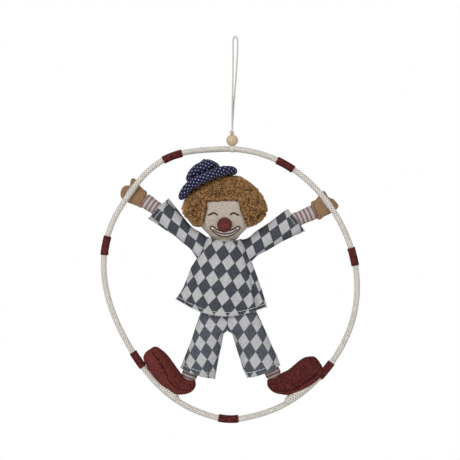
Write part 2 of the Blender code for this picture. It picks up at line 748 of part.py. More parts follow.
def hat_matrix():
    """Where the cap sits: on the hair's outline, tilted, a little forward."""
    outward = Vector((cosine(HAT_ANGLE), 0.0, sine(HAT_ANGLE)))
    seat = hair_edge(HAT_ANGLE) + outward * BRIM_HALF_THICKNESS * 0.5
    seat.y -= BRIM_FORWARD
    tilt = Matrix.Rotation(math.radians(-HAT_TILT), 4, "Y")
    return Matrix.Translation(seat) @ tilt @ Matrix.Translation((HAT_SHIFT, 0.0, 0.0))


def build_hat():
    """The cap: a padded brim that lies on the hair, and a soft crown on the brim."""
    brim = add_piece("hat_brim", brim_mesh("hat_brim"), NAVY_DOTS, TURN_PIVOT)
    trim(brim, hair_mesh("brim_seat", FIT_GAP))

    half = (CROWN_HALF_LENGTH, CROWN_HALF_DEPTH, CROWN_HALF_HEIGHT)
    crown_mesh = ball_mesh("hat_crown", half, HAT_POWER, HAT_POWER, 18, 10)
    lift = Matrix.Translation((CROWN_SHIFT, 0.0, BRIM_HALF_THICKNESS + CROWN_SEAT))
    crown = add_piece("hat_crown", moved(crown_mesh, hat_matrix() @ lift), NAVY_DOTS, TURN_PIVOT)
    trim(crown, brim_mesh("crown_seat", FIT_GAP))
    trim(crown, hair_mesh("crown_hair_seat", FIT_GAP))


def tunic_point(turn, share):
    """A point of the tunic: turn goes round it in degrees, share from the collar to the hem."""
    length = TUNIC_TOP - TUNIC_HEM
    chest_depth = CHEST_HALF * TORSO_FLATTEN + FIT_GAP + CLOTH
    collar_depth = NECK_TOP_RADIUS + COLLAR_EASE
    if share < ARMPIT_SHARE:
        half = blend(COLLAR_HALF, ARMPIT_HALF, share / ARMPIT_SHARE)
        depth = blend(collar_depth, chest_depth, share / ARMPIT_SHARE)
        middle_y = blend(NECK_Y, 0.0, share / ARMPIT_SHARE)
    else:
        skirt = (share - ARMPIT_SHARE) / (1.0 - ARMPIT_SHARE)
        half = ARMPIT_HALF + (HEM_HALF - ARMPIT_HALF) * skirt ** FLARE_POWER
        depth = blend(chest_depth, HEM_HALF_DEPTH, skirt)
        middle_y = 0.0
    around = cosine(turn)
    bulge = math.copysign(abs(sine(turn)) ** SIDE_SHARPNESS, sine(turn))
    fold = 1.0 + FOLD_DEPTH * share ** 2 * cosine(FOLD_COUNT * turn + FOLD_PHASE)
    across = TUNIC_TOP_X + (TUNIC_HEM_X - TUNIC_TOP_X) * share + half * around
    rise = (HEM_RISE * around ** 2 - HEM_TILT * around) * share ** 2
    collar = COLLAR_RISE * around ** 2 * (1.0 - share) ** 6
    return on_toy(across, TUNIC_TOP - length * share + rise + collar, middle_y + depth * bulge * fold)


def build_tunic():
    """The flared tunic with its folds and its two armholes."""
    bm = bmesh.new()
    bmesh.ops.create_grid(bm, x_segments=TUNIC_COLUMNS, y_segments=TUNIC_ROWS, size=0.5)
    for vert in bm.verts:
        vert.co = tunic_point(360.0 * (vert.co.x + 0.5), 0.5 - vert.co.y)
    bmesh.ops.remove_doubles(bm, verts=bm.verts, dist=1e-6)
    tunic = add_piece("tunic", mesh_from(bm, "tunic"), DIAMOND_CANVAS, TILT_PIVOT)
    thicken(tunic, CLOTH)
    for name, index, side in SIDES:
        trim(tunic, sleeve_mesh(f"armhole_{name}", index, side, FIT_GAP, caps=True))


def arm_direction(index, side):
    """Unit direction along a sleeve, from its root to the wrist."""
    root = sleeve_root(index, side)
    crossing = hoop_point(HAND_ANGLES[index])
    return (crossing - root).normalized()


def sleeve_root(index, side):
    """The middle of the armhole."""
    across = TUNIC_TOP_X + side * (ARMPIT_HALF - CLOTH) + side * SLEEVE_ROOT_OUT[index]
    return on_toy(across, SLEEVE_ROOT_HEIGHTS[index])


def wrist_reach(index, side):
    """Distance from the armhole to the wrist."""
    return (hoop_point(HAND_ANGLES[index]) - sleeve_root(index, side)).length - HAND_REACH


def arm_point(index, side, distance):
    """The middle of the arm at a distance from the armhole; it eases back behind the rope."""
    point = sleeve_root(index, side) + arm_direction(index, side) * distance
    point.y = blend(0.0, hand_middle(), distance / (wrist_reach(index, side) * ARM_EASE))
    return point


def hand_middle():
    """Depth of the middle of a hand, which lies behind the rope."""
    return ROPE_RADIUS + FIT_GAP + HAND_THICKNESS * 0.5


def sleeve_mesh(name, index, side, grow=0.0, caps=False):
    """A sleeve that flares to its cuff and follows the arm back to the hoop."""
    length = wrist_reach(index, side) - ARM_SHOW[index]
    shape = (
        (-SLEEVE_TUCK - grow, SLEEVE_ROOT_HALF),
        (length * 0.15, SLEEVE_ROOT_HALF),
        (length * 0.50, SLEEVE_WAIST_HALF),
        (length * 0.80, SLEEVE_CUFF_HALF * 0.88),
        (length, SLEEVE_CUFF_HALF),
    )
    stations = []
    for distance, half in shape:
        stations.append(station(arm_point(index, side, distance), half + grow / SLEEVE_FLATTEN))
    return tube_mesh(name, smooth_points(stations, 2), SLEEVE_FLATTEN, caps)


def build_arms():
    """Sleeves, stuffed arms, flat hands and the thread that sews the hands to the rope."""
    for name, index, side in SIDES:
        sleeve_tube = sleeve_mesh(f"sleeve_{name}", index, side)
        thicken(add_piece(f"sleeve_{name}", sleeve_tube, DIAMOND_CANVAS, TILT_PIVOT), CLOTH)

        reach = wrist_reach(index, side)
        wrist = arm_point(index, side, reach)
        along = arm_direction(index, side)
        start = on_toy(torso_x(ARM_ROOT_HEIGHT) + side * ARM_ROOT_INSET, ARM_ROOT_HEIGHT)
        stations = [station(start, ARM_RADIUS)]
        for share, swell in ARM_SWELL:
            stations.append(station(arm_point(index, side, (reach - FIT_GAP) * share), ARM_RADIUS * swell))
        arm_tube = tube_mesh(f"arm_{name}", smooth_points(stations, 2), ARM_FLATTEN)
        arm = add_piece(f"arm_{name}", arm_tube, STRIPED_KNIT, TILT_PIVOT)
        trim(arm, torso_mesh(f"arm_root_{name}", FIT_GAP))

        stitch_angle = HAND_ANGLES[index]
        sleeve_on_rope(f"hand_stitch_{name}", stitch_angle, HAND_STITCH_LENGTH, STITCH_WALL, 2, COTTON_CORD)
        mitten = hand_mesh(f"hand_{name}", wrist, along, side)
        hand = add_piece(f"hand_{name}", mitten, BROWN_COTTON, TILT_PIVOT)
        half = hoop_degrees(HAND_STITCH_LENGTH + FIT_GAP * 2.0, stitch_angle) * 0.5
        corner = across_flats(ROPE_RADIUS + FIT_GAP * 2.0 + STITCH_WALL, TUBE_SIDES)
        groove = with_radius(hoop_arc(stitch_angle - half, stitch_angle + half, 2), corner)
        trim(hand, tube_mesh(f"hand_groove_{name}", groove, resolution=THIN_RESOLUTION))


def hand_mesh(name, wrist, along, side):
    """A flat padded mitten: the thumb is above, and the fingers pass behind the rope."""
    curve = bpy.data.curves.new(name, "CURVE")
    curve.dimensions = "2D"
    curve.fill_mode = "BOTH"
    curve.resolution_u = 2
    curve.extrude = HAND_THICKNESS * 0.5 - HAND_ROUND
    curve.bevel_depth = HAND_ROUND
    curve.bevel_resolution = 0
    curve.offset = -HAND_ROUND
    spline = curve.splines.new("BEZIER")
    spline.bezier_points.add(len(HAND_OUTLINE) - 1)
    spline.use_cyclic_u = True
    for number, (point, (reach, width)) in enumerate(zip(spline.bezier_points, HAND_OUTLINE)):
        point.co = (reach, width, 0.0)
        at_wrist = number in (0, len(HAND_OUTLINE) - 1)
        point.handle_left_type = "VECTOR" if at_wrist else "AUTO"
        point.handle_right_type = "VECTOR" if at_wrist else "AUTO"
    thumbward = Vector((-along.z * side, 0.0, along.x * side))
    facing = along.cross(thumbward)
    turn = Matrix((along, thumbward, facing)).transposed().to_4x4()
    return curve_mesh(name, curve, Matrix.Translation(wrist) @ turn)


def trouser_forms(name, shrink, spare):
    """The closed forms that make up the trousers: the waist and both legs."""
    waist_half = HIP_HALF + WAIST_EASE
    waist_depth = HIP_HALF * TORSO_FLATTEN + FIT_GAP + CLOTH
    waist_flatten = waist_depth / waist_half
    heights = (WAIST_TOP + spare, TROUSER_HIP_HEIGHT, WAIST_BOTTOM)
    waist = []
    for height, swell in zip(heights, (WAIST_TOP_SHARE, 1.0, WAIST_SEAT_SHARE)):
        waist.append(station(on_toy(WAIST_X, height), waist_half * swell - shrink / waist_flatten))
    forms = [tube_mesh(f"{name}_waist", smooth_points(waist, 2), waist_flatten)]
    for side_name, index, side in SIDES:
        hip = on_toy(TROUSER_HIPS[index], TROUSER_HIP_HEIGHT)
        inward = -side * HEM_INSIDE_ANKLE[index]
        hem = ankle_point(index, side) + Vector((inward, 0.0, HEM_ABOVE_ANKLE[index]))
        hem += (hem - hip).normalized() * spare
        knee = hip.lerp(hem, 0.45)
        leg = (
            station(hip, TROUSER_HIP_HALF - shrink),
            station(knee, TROUSER_KNEE_HALF - shrink),
            station(hem, TROUSER_HEM_HALF - shrink),
        )
        forms.append(tube_mesh(f"{name}_{side_name}", smooth_points(leg, 3), TROUSER_FLATTEN))
    return forms


def build_trousers():
    """The trousers: a waist and two wide legs, hollow from the waist to the hems."""
    outer = trouser_forms("trousers", 0.0, 0.0)
    trousers = add_piece("trousers", outer[0], DIAMOND_CANVAS, TILT_PIVOT)
    for form in outer[1:]:
        trim(trousers, form, "UNION")
    for form in trouser_forms("trouser_lining", CLOTH, LINING_SPARE):
        trim(trousers, form)


def foot_frame(index, side):
    """The sole's point on the hoop, the toe's direction and the way up from the sole."""
    angle = FOOT_ANGLES[index]
    tangent = (hoop_point(angle + 0.5) - hoop_point(angle - 0.5)).normalized() * side
    toe = Matrix.Rotation(math.radians(side * FOOT_TURN), 3, "Y") @ tangent
    up = Vector((-toe.z * side, 0.0, toe.x * side))
    sole = hoop_point(angle) + up * (ROPE_RADIUS + FIT_GAP)
    return sole, toe, up


def foot_point(index, side, along, height):
    """A point of the shoe, along it from the sole's point and up from the sole."""
    sole, toe, up = foot_frame(index, side)
    return sole + toe * along + up * height


def ankle_point(index, side):
    """Where the leg goes into the shoe."""
    return foot_point(index, side, -ANKLE_SETBACK, ANKLE_HEIGHT)


def shoe_mesh(name, index, side, grow=0.0):
    """The stuffed shoe: a rounded heel, a level instep and a full round toe."""
    length = TOE_REACH + HEEL_REACH
    shape = [(share, rise, half, SHOE_HEIGHT * 0.5) for share, rise, half in SHOE_HEEL_OUTLINE]
    shape += [(share, rise, half, SHOE_TOE_HEIGHT * 0.5) for share, rise, half in SHOE_TOE_OUTLINE]
    stations = []
    for share, rise, half, size in shape:
        along = -HEEL_REACH - grow + (length + 2.0 * grow) * share
        point = foot_point(index, side, along, size * rise)
        stations.append(station(point, size * half + grow / SHOE_FLATTEN))
    return tube_mesh(name, smooth_points(stations, 2), SHOE_FLATTEN)


def foot_stitch_mesh(name, index, side, grow=0.0):
    """The thread that sews a shoe down: it wraps the rope and fills in towards the heel."""
    middle = FOOT_ANGLES[index] - side * FOOT_STITCH_LEAD
    base = ROPE_RADIUS + FIT_GAP + STITCH_WALL
    spread = FOOT_STITCH_HALF_ANGLE + hoop_degrees(grow, middle)
    stations = []
    for share in (-1.0, -0.5, 0.0, 0.5, 1.0):
        bulge = FOOT_STITCH_BULGE * (1.0 - share ** 2)
        point = hoop_point(middle + spread * share, bulge)
        stations.append(station(point, across_flats(base + bulge * 0.6 + grow, 12)))
    return tube_mesh(name, stations)


def build_legs():
    """Stuffed legs, shoes and the thread that sews the shoes to the rope."""
    rope_cut = across_flats(ROPE_RADIUS + FIT_GAP, TUBE_SIDES)
    band_cut = across_flats(ROPE_RADIUS + FIT_GAP * 2.0 + BAND_WALL, TUBE_SIDES)
    for name, index, side in SIDES:
        angle = FOOT_ANGLES[index]
        span = hoop_degrees(TOE_REACH + HEEL_REACH, angle)
        rope_arc = with_radius(hoop_arc(angle - span, angle + span, 16), rope_cut)
        toe_angle = angle + side * span * 0.5
        nearest = min(BAND_ANGLES, key=lambda band: abs((band - toe_angle + 180.0) % 360.0 - 180.0))
        band_half = hoop_degrees(BAND_LENGTH + FIT_GAP * 2.0, nearest) * 0.5
        band_arc = with_radius(hoop_arc(nearest - band_half, nearest + band_half, 4), band_cut)

        shoe_body = shoe_mesh(f"shoe_{name}", index, side)
        shoe = add_piece(f"shoe_{name}", shoe_body, RUST_FELT, TILT_PIVOT)
        trim(shoe, tube_mesh(f"sole_groove_{name}", rope_arc, resolution=THIN_RESOLUTION))
        trim(shoe, tube_mesh(f"toe_groove_{name}", band_arc, resolution=THIN_RESOLUTION))
        trim(shoe, foot_stitch_mesh(f"heel_groove_{name}", index, side, FIT_GAP))

        stitch_body = foot_stitch_mesh(f"foot_stitch_{name}", index, side)
        stitch = add_piece(f"foot_stitch_{name}", stitch_body, COTTON_CORD, TILT_PIVOT)
        trim(stitch, tube_mesh(f"stitch_bore_{name}", rope_arc, resolution=THIN_RESOLUTION))

        hip = on_toy(torso_x(LEG_ROOT_HEIGHT) + side * LEG_ROOT_SPREAD, LEG_ROOT_HEIGHT)
        ankle = ankle_point(index, side)
        stations = [station(hip.lerp(ankle, share), LEG_RADIUS) for share in (0.0, 0.5, 1.0)]
        leg_tube = tube_mesh(f"leg_{name}", smooth_points(stations, 2), LEG_FLATTEN)
        leg = add_piece(f"leg_{name}", leg_tube, STRIPED_KNIT, TILT_PIVOT)
        trim(leg, torso_mesh(f"leg_root_{name}", FIT_GAP))
        trim(leg, shoe_mesh(f"ankle_seat_{name}", index, side, FIT_GAP))


def main():
    """Build the mobile from the hook down."""
    build_cord()
    build_hoop()
    build_torso()
    build_head()
    build_hat()
    build_tunic()
    build_arms()
    build_trousers()
    build_legs()


main()
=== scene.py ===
"""Dressed scene of the baby mobile: a cloth clown spread in a rope-covered hoop on a cord with a wooden bead.

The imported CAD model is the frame. Each class here makes the pieces of one sub-assembly, gives them their finish
and lets them ride on the CAD body that carries them. Tables are in millimetres, across and up from the hook
point, and MM turns them into metres.
"""

import logging
import math
import random
from dataclasses import dataclass
from enum import Enum
from functools import cached_property

import bmesh
import bpy
import numpy as np
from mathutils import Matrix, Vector, noise


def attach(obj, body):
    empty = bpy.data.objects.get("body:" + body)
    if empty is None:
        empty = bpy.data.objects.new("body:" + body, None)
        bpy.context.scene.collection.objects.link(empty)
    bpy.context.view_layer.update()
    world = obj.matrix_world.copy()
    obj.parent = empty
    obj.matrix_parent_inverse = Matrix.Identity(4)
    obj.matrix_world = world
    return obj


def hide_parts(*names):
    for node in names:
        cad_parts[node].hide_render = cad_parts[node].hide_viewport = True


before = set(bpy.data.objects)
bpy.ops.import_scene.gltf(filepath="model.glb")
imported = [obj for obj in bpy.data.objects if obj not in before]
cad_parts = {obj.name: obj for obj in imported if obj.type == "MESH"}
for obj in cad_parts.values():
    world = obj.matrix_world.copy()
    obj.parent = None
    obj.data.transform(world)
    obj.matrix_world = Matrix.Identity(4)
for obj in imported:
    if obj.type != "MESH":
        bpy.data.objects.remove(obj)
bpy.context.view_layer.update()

LOG = logging.getLogger("baby_mobile")
MM = 0.001
FULL_TURN = 2.0 * math.pi
PRINT = "print"
CLOTH = "cloth"
GRAIN_RANGE = (0.3, 0.7)
SWELL_SCALE = 20.0
SWELL_FRAMES = 14
SWELL_QUALITY = 5
SWELL_PRESSURE = 3.0
BACKWARDS = (0.0, 1.0, 0.0)
CANVAS_THICKNESS = 0.7
STITCH_RADIUS = 0.30
SEAM_LIFT = 0.1
STITCH_LENGTH = 3.4
STITCH_GAP = 0.3
FRAY_ROOT = 0.5
FRAY_LENGTHS = (0.3, 1.3)
FRAY_RADII = (0.09, 0.15)

Array = np.ndarray
Piece = bpy.types.Object
Material = bpy.types.Material
Pair = tuple[float, float]
Triple = tuple[float, float, float]
Colour = Triple
Outline = tuple[tuple[float, ...], ...]


class Body(str, Enum):
    """The CAD bodies that pieces ride on."""

    CORD = "cord"
    KNOT = "knot"
    BEAD = "bead"
    TIE = "tie"
    HOOP = "hoop"
    NECK = "neck"
    HEAD = "head"


class Side(Enum):
    """The clown's limbs, named for the side of the picture they are on."""

    LEFT = "left"
    RIGHT = "right"


# Curves and meshes


def path_lengths(path: Array, axis: int = 0) -> Array:
    """How far along an open path each of its points lies; along an axis of a grid where one is given."""
    steps = np.linalg.norm(np.diff(path, axis=axis), axis=-1)
    return np.insert(np.cumsum(steps, axis=axis), 0, 0.0, axis=axis)


def full_turn(count: int) -> Array:
    """Evenly spaced angles round a full turn."""
    return np.linspace(0.0, FULL_TURN, count, endpoint=False)


def shares(count: int) -> Array:
    """Evenly spaced shares from 0 to 1."""
    return np.linspace(0.0, 1.0, count)


def rounded(wave: Array, power: float | Array) -> Array:
    """A sine or cosine raised to a power with its sign kept, which makes a section squarer or sharper."""
    return np.sign(wave) * np.abs(wave) ** power


def bell(values: Array, middle: float, width: float) -> Array:
    """A bell-shaped bump of height 1 round a middle."""
    return np.exp(-(((values - middle) / width) ** 2))


def waves(turn: Array, table: Outline) -> Array:
    """The sum of waves round a turn, from a table of their count, start and size."""
    return sum(size * np.sin(count * turn + start) for count, start, size in table)


def unit(vectors: Array) -> Array:
    """Vectors along the last axis, brought to length 1."""
    return vectors / np.linalg.norm(vectors, axis=-1, keepdims=True)


def tapered(count: int, steps: float, least: float) -> Array:
    """Shares of thickness along a strand that thins to its ends over some steps."""
    return np.clip(np.minimum(np.arange(count), np.arange(count)[::-1]) / steps, least, 1.0)


def even_steps(path: Array, count: int, closed: bool = False) -> Array:
    """Spaces points evenly along a path.

    Args:
        path: Points of the path, one row each.
        count: How many points to give back.
        closed: Whether the last point of the path repeats the first.

    Returns:
        The evenly spaced points.
    """
    along = path_lengths(path)
    return points_at(path, np.linspace(0.0, along[-1], count, endpoint=not closed))


def points_at(path: Array, marks: Array) -> Array:
    """Points of a path at distances along it."""
    along = path_lengths(path)
    return np.stack([np.interp(marks, along, path[:, axis]) for axis in range(path.shape[1])], axis=1)


def smooth_path(points: Outline, count: int, closed: bool = False) -> Array:
    """Runs a smooth curve through points.

    Args:
        points: The points, of two or more values each.
        count: How many evenly spaced points to give back.
        closed: Whether the curve goes back to its first point.

    Returns:
        The points of the curve.
    """
    knots = np.asarray(points, dtype=float)
    if closed:
        knots = np.vstack([knots[-1:], knots, knots[:2]])
    else:
        knots = np.vstack([2.0 * knots[0] - knots[1], knots, 2.0 * knots[-1] - knots[-2]])
    share = np.linspace(0.0, 1.0, 12, endpoint=False)[:, None]
    pieces = []
    for before, start, end, after in zip(knots, knots[1:], knots[2:], knots[3:]):
        bend = 2.0 * before - 5.0 * start + 4.0 * end - after
        twist = 3.0 * start - before - 3.0 * end + after
        pieces.append(0.5 * (2.0 * start + (end - before) * share + bend * share**2 + twist * share**3))
    pieces.append(knots[-2:-1])
    return even_steps(np.vstack(pieces), count, closed)


def read_table(table: Outline, share: Array) -> Array:
    """Values of a table of (share, value) pairs at the given shares."""
    rows = np.asarray(table, dtype=float)
    return np.interp(share, rows[:, 0], rows[:, 1])


def lifted(points: Array, depth: float | Array = 0.0) -> Array:
    """Points given across and up in millimetres, as metres in the frame, at a depth in millimetres."""
    depths = np.broadcast_to(depth, len(points))
    return np.stack([points[:, 0], depths, points[:, 1]], axis=1) * MM


def path_sides(path: Array, hint: Triple = BACKWARDS, closed: bool = False) -> tuple:
    """Two directions across a path that turn as little as possible along it.

    Args:
        path: Points of the path.
        hint: About where the first direction points.
        closed: Whether the path is a ring.

    Returns:
        The first and the second direction at each point.
    """
    ahead = np.roll(path, -1, axis=0) - np.roll(path, 1, axis=0) if closed else np.gradient(path, axis=0)
    ahead = unit(ahead)
    first = np.empty_like(path)
    current = np.asarray(hint, dtype=float)
    for index, step in enumerate(ahead):
        current = unit(current - step * (current @ step))
        first[index] = current
    return first, np.cross(ahead, first)


def spokes(sides: tuple, turn: Array) -> Array:
    """Directions across a path at each of its points, from its two sides, for each angle round it."""
    first, second = sides
    return first[:, None] * np.cos(turn)[:, None] + second[:, None] * np.sin(turn)[:, None]


def ripple(points: Array, scale: float, seed: float = 0.0) -> Array:
    """Smooth noise from about -1 to 1 at each point.

    Args:
        points: The points, in metres.
        scale: The size of a ripple, in millimetres.
        seed: Moves the noise, so that pieces differ.

    Returns:
        One value for each point.
    """
    flat = points.reshape(-1, 3) / (scale * MM)
    values = [noise.noise(Vector((x + seed, y - seed, z + 2.0 * seed))) for x, y, z in flat]
    return np.asarray(values).reshape(points.shape[:-1])


def napped(grid: Array, nap: Pair, seed: float = 0.0, way: Array | float = 1.0) -> Array:
    """Moves points of cloth by the unevenness of its nap.

    Args:
        grid: Points in metres.
        nap: How long and how high the unevenness is, in millimetres.
        seed: Moves the noise, so that pieces differ.
        way: The direction in which each point moves, or 1 for all three axes alike.

    Returns:
        The moved points.
    """
    size, height = nap
    return grid + way * (ripple(grid, size, seed)[..., None] * height * MM)


def face_outwards(work: bmesh.types.BMesh) -> None:
    """Turns the faces of a mesh outwards; an open tube or shell is judged from its middle."""
    bmesh.ops.recalc_face_normals(work, faces=work.faces)
    if any(edge.is_boundary for edge in work.edges):
        middle = sum((face.calc_center_median() for face in work.faces), Vector()) / len(work.faces)
        away = sum(face.normal.dot(face.calc_center_median() - middle) * face.calc_area() for face in work.faces)
        if away < 0.0:
            bmesh.ops.reverse_faces(work, faces=work.faces)


class MeshMaker:
    """Collects points, faces and the corners' places on flat cloth, and makes one object of them."""

    def __init__(self) -> None:
        """Starts with nothing."""
        self.points: list[Array] = []
        self.faces: list[tuple[int, ...]] = []
        self.layers: dict[str, list[Array]] = {}
        self.count = 0

    def add_grid(
        self,
        grid: Array,
        wrap: bool = True,
        ring: bool = False,
        caps: bool = False,
        flat: dict[str, Array] | None = None,
    ) -> None:
        """Adds a grid of points with a face in each cell.

        Args:
            grid: The points, as rows of columns.
            wrap: Whether the last column meets the first.
            ring: Whether the last row meets the first.
            caps: Whether the first and last rows are closed with a point in their middle.
            flat: For each layer, the place of each corner, with one more row and column where they wrap.
        """
        rows, columns = grid.shape[:2]
        first = self.count
        self.points.append(grid.reshape(-1, 3))
        self.count += rows * columns
        cells = np.indices((rows if ring else rows - 1, columns if wrap else columns - 1)).reshape(2, -1)
        corners = [(cells[0] + down, cells[1] + aside) for down, aside in ((0, 0), (0, 1), (1, 1), (1, 0))]
        numbers = [first + (row % rows) * columns + column % columns for row, column in corners]
        self.faces.extend(map(tuple, np.stack(numbers, axis=1).tolist()))
        for layer, places in (flat or {}).items():
            marks = [places[corner] for corner in corners]
            self.layers.setdefault(layer, []).append(np.stack(marks, axis=1).reshape(-1, 2))
        for row in (0, rows - 1) if caps else ():
            self._add_cap(grid, row, first, flat or {})

    def _add_cap(self, grid: Array, row: int, first: int, flat: dict[str, Array]) -> None:
        """Closes one row of a grid with a fan of faces."""
        columns = grid.shape[1]
        self.points.append(grid[row].mean(axis=0)[None])
        middle = self.count
        self.count += 1
        start = first + row * columns
        self.faces.extend((start + c, start + (c + 1) % columns, middle) for c in range(columns))
        for layer, places in flat.items():
            centre = places[row].mean(axis=0)
            fans = [(places[row, c], places[row, c + 1], centre) for c in range(columns)]
            self.layers.setdefault(layer, []).append(np.asarray(fans).reshape(-1, 2))

    def build(self, name: str, *finishes: Material) -> Piece:
        """Makes the object.

        Args:
            name: The piece's name.
            finishes: Its materials.

        Returns:
            The new object, in the scene, with smooth faces that point outwards.
        """
        mesh = bpy.data.meshes.new(name)
        mesh.from_pydata(np.concatenate(self.points).tolist(), [], self.faces)
        for layer, corners in self.layers.items():
            mesh.uv_layers.new(name=layer).data.foreach_set("uv", np.concatenate(corners).ravel())
        work = bmesh.new()
        work.from_mesh(mesh)
        face_outwards(work)
        work.to_mesh(mesh)
        work.free()
        mesh.shade_smooth()
        for finish in finishes:
            mesh.materials.append(finish)
        piece = bpy.data.objects.new(name, mesh)
        bpy.context.scene.collection.objects.link(piece)
        return piece


def grid_piece(name: str, finish: Material, grid: Array, **options: object) -> Piece:
    """A piece of one grid; the options are those of MeshMaker.add_grid."""
    maker = MeshMaker()
    maker.add_grid(grid, **options)
    return maker.build(name, finish)


def ends(rows: int, columns: int, first: int, last: int) -> Array:
    """The numbers of a grid's points in its first and last few rows."""
    return np.concatenate([np.arange(first * columns), np.arange((rows - last) * columns, rows * columns)])


def plumped(piece: Piece, held: Array, most: float, slack: float = 0.06) -> None:
    """Swells a stuffed piece with a short cloth simulation, so that its cloth puckers beside what is held.

    The simulation runs on a copy at a larger scale, where the solver behaves well, and the copy is thrown away.

    Args:
        piece: The piece, which keeps its points and faces.
        held: The numbers of the points that stay in place.
        most: How far a point may move, in millimetres.
        slack: How much longer the cloth is than the shape, as a share.
    """
    scene = bpy.context.scene
    start = np.empty((len(piece.data.vertices), 3), dtype=np.float32)
    piece.data.vertices.foreach_get("co", start.ravel())
    middle = start.mean(axis=0)
    work = bpy.data.objects.new("swelling", piece.data.copy())
    work.data.vertices.foreach_set("co", ((start - middle) * SWELL_SCALE).ravel())
    scene.collection.objects.link(work)
    work.vertex_groups.new(name="held").add(held.tolist(), 1.0, "REPLACE")
    cloth = work.modifiers.new("swell", "CLOTH")
    cloth.settings.quality = SWELL_QUALITY
    cloth.settings.use_pressure = True
    cloth.settings.uniform_pressure_force = SWELL_PRESSURE
    cloth.settings.shrink_min = -slack
    cloth.settings.effector_weights.gravity = 0.0
    cloth.settings.vertex_group_mass = "held"
    cloth.collision_settings.use_collision = False
    cloth.point_cache.frame_end = SWELL_FRAMES
    for number in range(1, SWELL_FRAMES + 1):
        scene.frame_set(number)
    swollen = np.empty_like(start)
    work.evaluated_get(bpy.context.evaluated_depsgraph_get()).data.vertices.foreach_get("co", swollen.ravel())
    move = swollen / SWELL_SCALE + middle - start
    reach = np.linalg.norm(move, axis=1, keepdims=True)
    limit = most * MM
    piece.data.vertices.foreach_set("co", (start + move * limit / (limit + reach)).ravel())
    piece.data.update()
    bpy.data.objects.remove(work)
    scene.frame_set(1)


@dataclass(frozen=True)
class Strand:
    """A round strand along a path, twisted from yarns where it has any.

    Its flat places are the yarn's phase round it and the length along it in millimetres.
    """

    radius: float
    sides: int = 8
    yarns: int = 0
    groove: float = 0.0
    lay: float = 1.0

    def add(self, maker: MeshMaker, path: Array, hint: Triple = BACKWARDS, swell: Array | float = 1.0) -> None:
        """Adds the strand to a mesh.

        Args:
            maker: The mesh in the making.
            path: Points along the strand's middle, in metres.
            hint: About where the strand's first side points.
            swell: How thick the strand is at each point, as a share of its radius.
        """
        along = path_lengths(path) / MM
        turn = np.linspace(0.0, FULL_TURN, self.sides + 1)
        phase = self.yarns * (turn[None, :] / FULL_TURN) - (along / self.lay)[:, None]
        reach = self.radius * MM * (1.0 + self.groove * np.cos(FULL_TURN * phase[:, :-1]))
        reach = reach * np.broadcast_to(swell, len(path))[:, None]
        across = spokes(path_sides(path, hint), turn[:-1])
        places = np.stack([phase, np.broadcast_to(along[:, None], phase.shape)], axis=2)
        maker.add_grid(path[:, None] + across * reach[..., None], caps=True, flat={CLOTH: places})

    def piece(
        self, name: str, finish: Material, path: Array, hint: Triple = BACKWARDS, swell: Array | float = 1.0
    ) -> Piece:
        """Makes a piece of this one strand.

        Args:
            name: The piece's name.
            finish: Its material.
            path: Points along the strand's middle, in metres.
            hint: About where the strand's first side points.
            swell: How thick the strand is at each point, as a share of its radius.

        Returns:
            The new piece.
        """
        maker = MeshMaker()
        self.add(maker, path, hint, swell)
        return maker.build(name, finish)


def sewing_thread(radius: float) -> Strand:
    """The thread of seams and bindings, of two yarns."""
    return Strand(radius, 6, yarns=2, groove=0.1, lay=0.8)


def loft(path: Array, half: Array, depth: Array, columns: int, power: float = 2.0) -> Array:
    """Rounded sections across a path that lies in the picture's plane.

    Args:
        path: The middle of each section, in metres.
        half: Half the height of each section in the plane, in millimetres.
        depth: Half its depth, in millimetres.
        columns: How many points go round a section.
        power: How square the sections are; 2 is an ellipse.

    Returns:
        The grid of points, one row for each section.
    """
    first, second = path_sides(path)
    turn = full_turn(columns)
    out, up = rounded(np.cos(turn), 2.0 / power), rounded(np.sin(turn), 2.0 / power)
    grid = path[:, None] + first[:, None] * (out[None] * depth[:, None] * MM)[..., None]
    return grid + second[:, None] * (up[None] * half[:, None] * MM)[..., None]


def turned(profile: Outline | Array, columns: int) -> Array:
    """A profile of reaches and heights, turned round the upright axis as a grid."""
    turn = full_turn(columns)
    around = np.stack([np.cos(turn), np.sin(turn), np.zeros(columns)], axis=1)
    return np.stack([around * out + np.array([0.0, 0.0, up]) for out, up in profile])


def grid_flat(grid: Array) -> Array:
    """Places of a wrapped grid's corners on flat cloth: length round and length down, in millimetres."""
    closed = np.concatenate([grid, grid[:, :1]], axis=1)
    return np.stack([path_lengths(closed, 1), path_lengths(closed)], axis=2) / MM


# Finishes


@dataclass(frozen=True)
class Value:
    """A number that nodes work out; sums on it lay out further nodes."""

    bench: "NodeBench"
    socket: bpy.types.NodeSocket

    def __add__(self, other: object) -> "Value":
        """This plus another."""
        return self.bench.sum("ADD", self, other)

    def __sub__(self, other: object) -> "Value":
        """This less another."""
        return self.bench.sum("SUBTRACT", self, other)

    def __mul__(self, other: object) -> "Value":
        """This times another."""
        return self.bench.sum("MULTIPLY", self, other)

    def __truediv__(self, other: object) -> "Value":
        """This divided by another."""
        return self.bench.sum("DIVIDE", self, other)


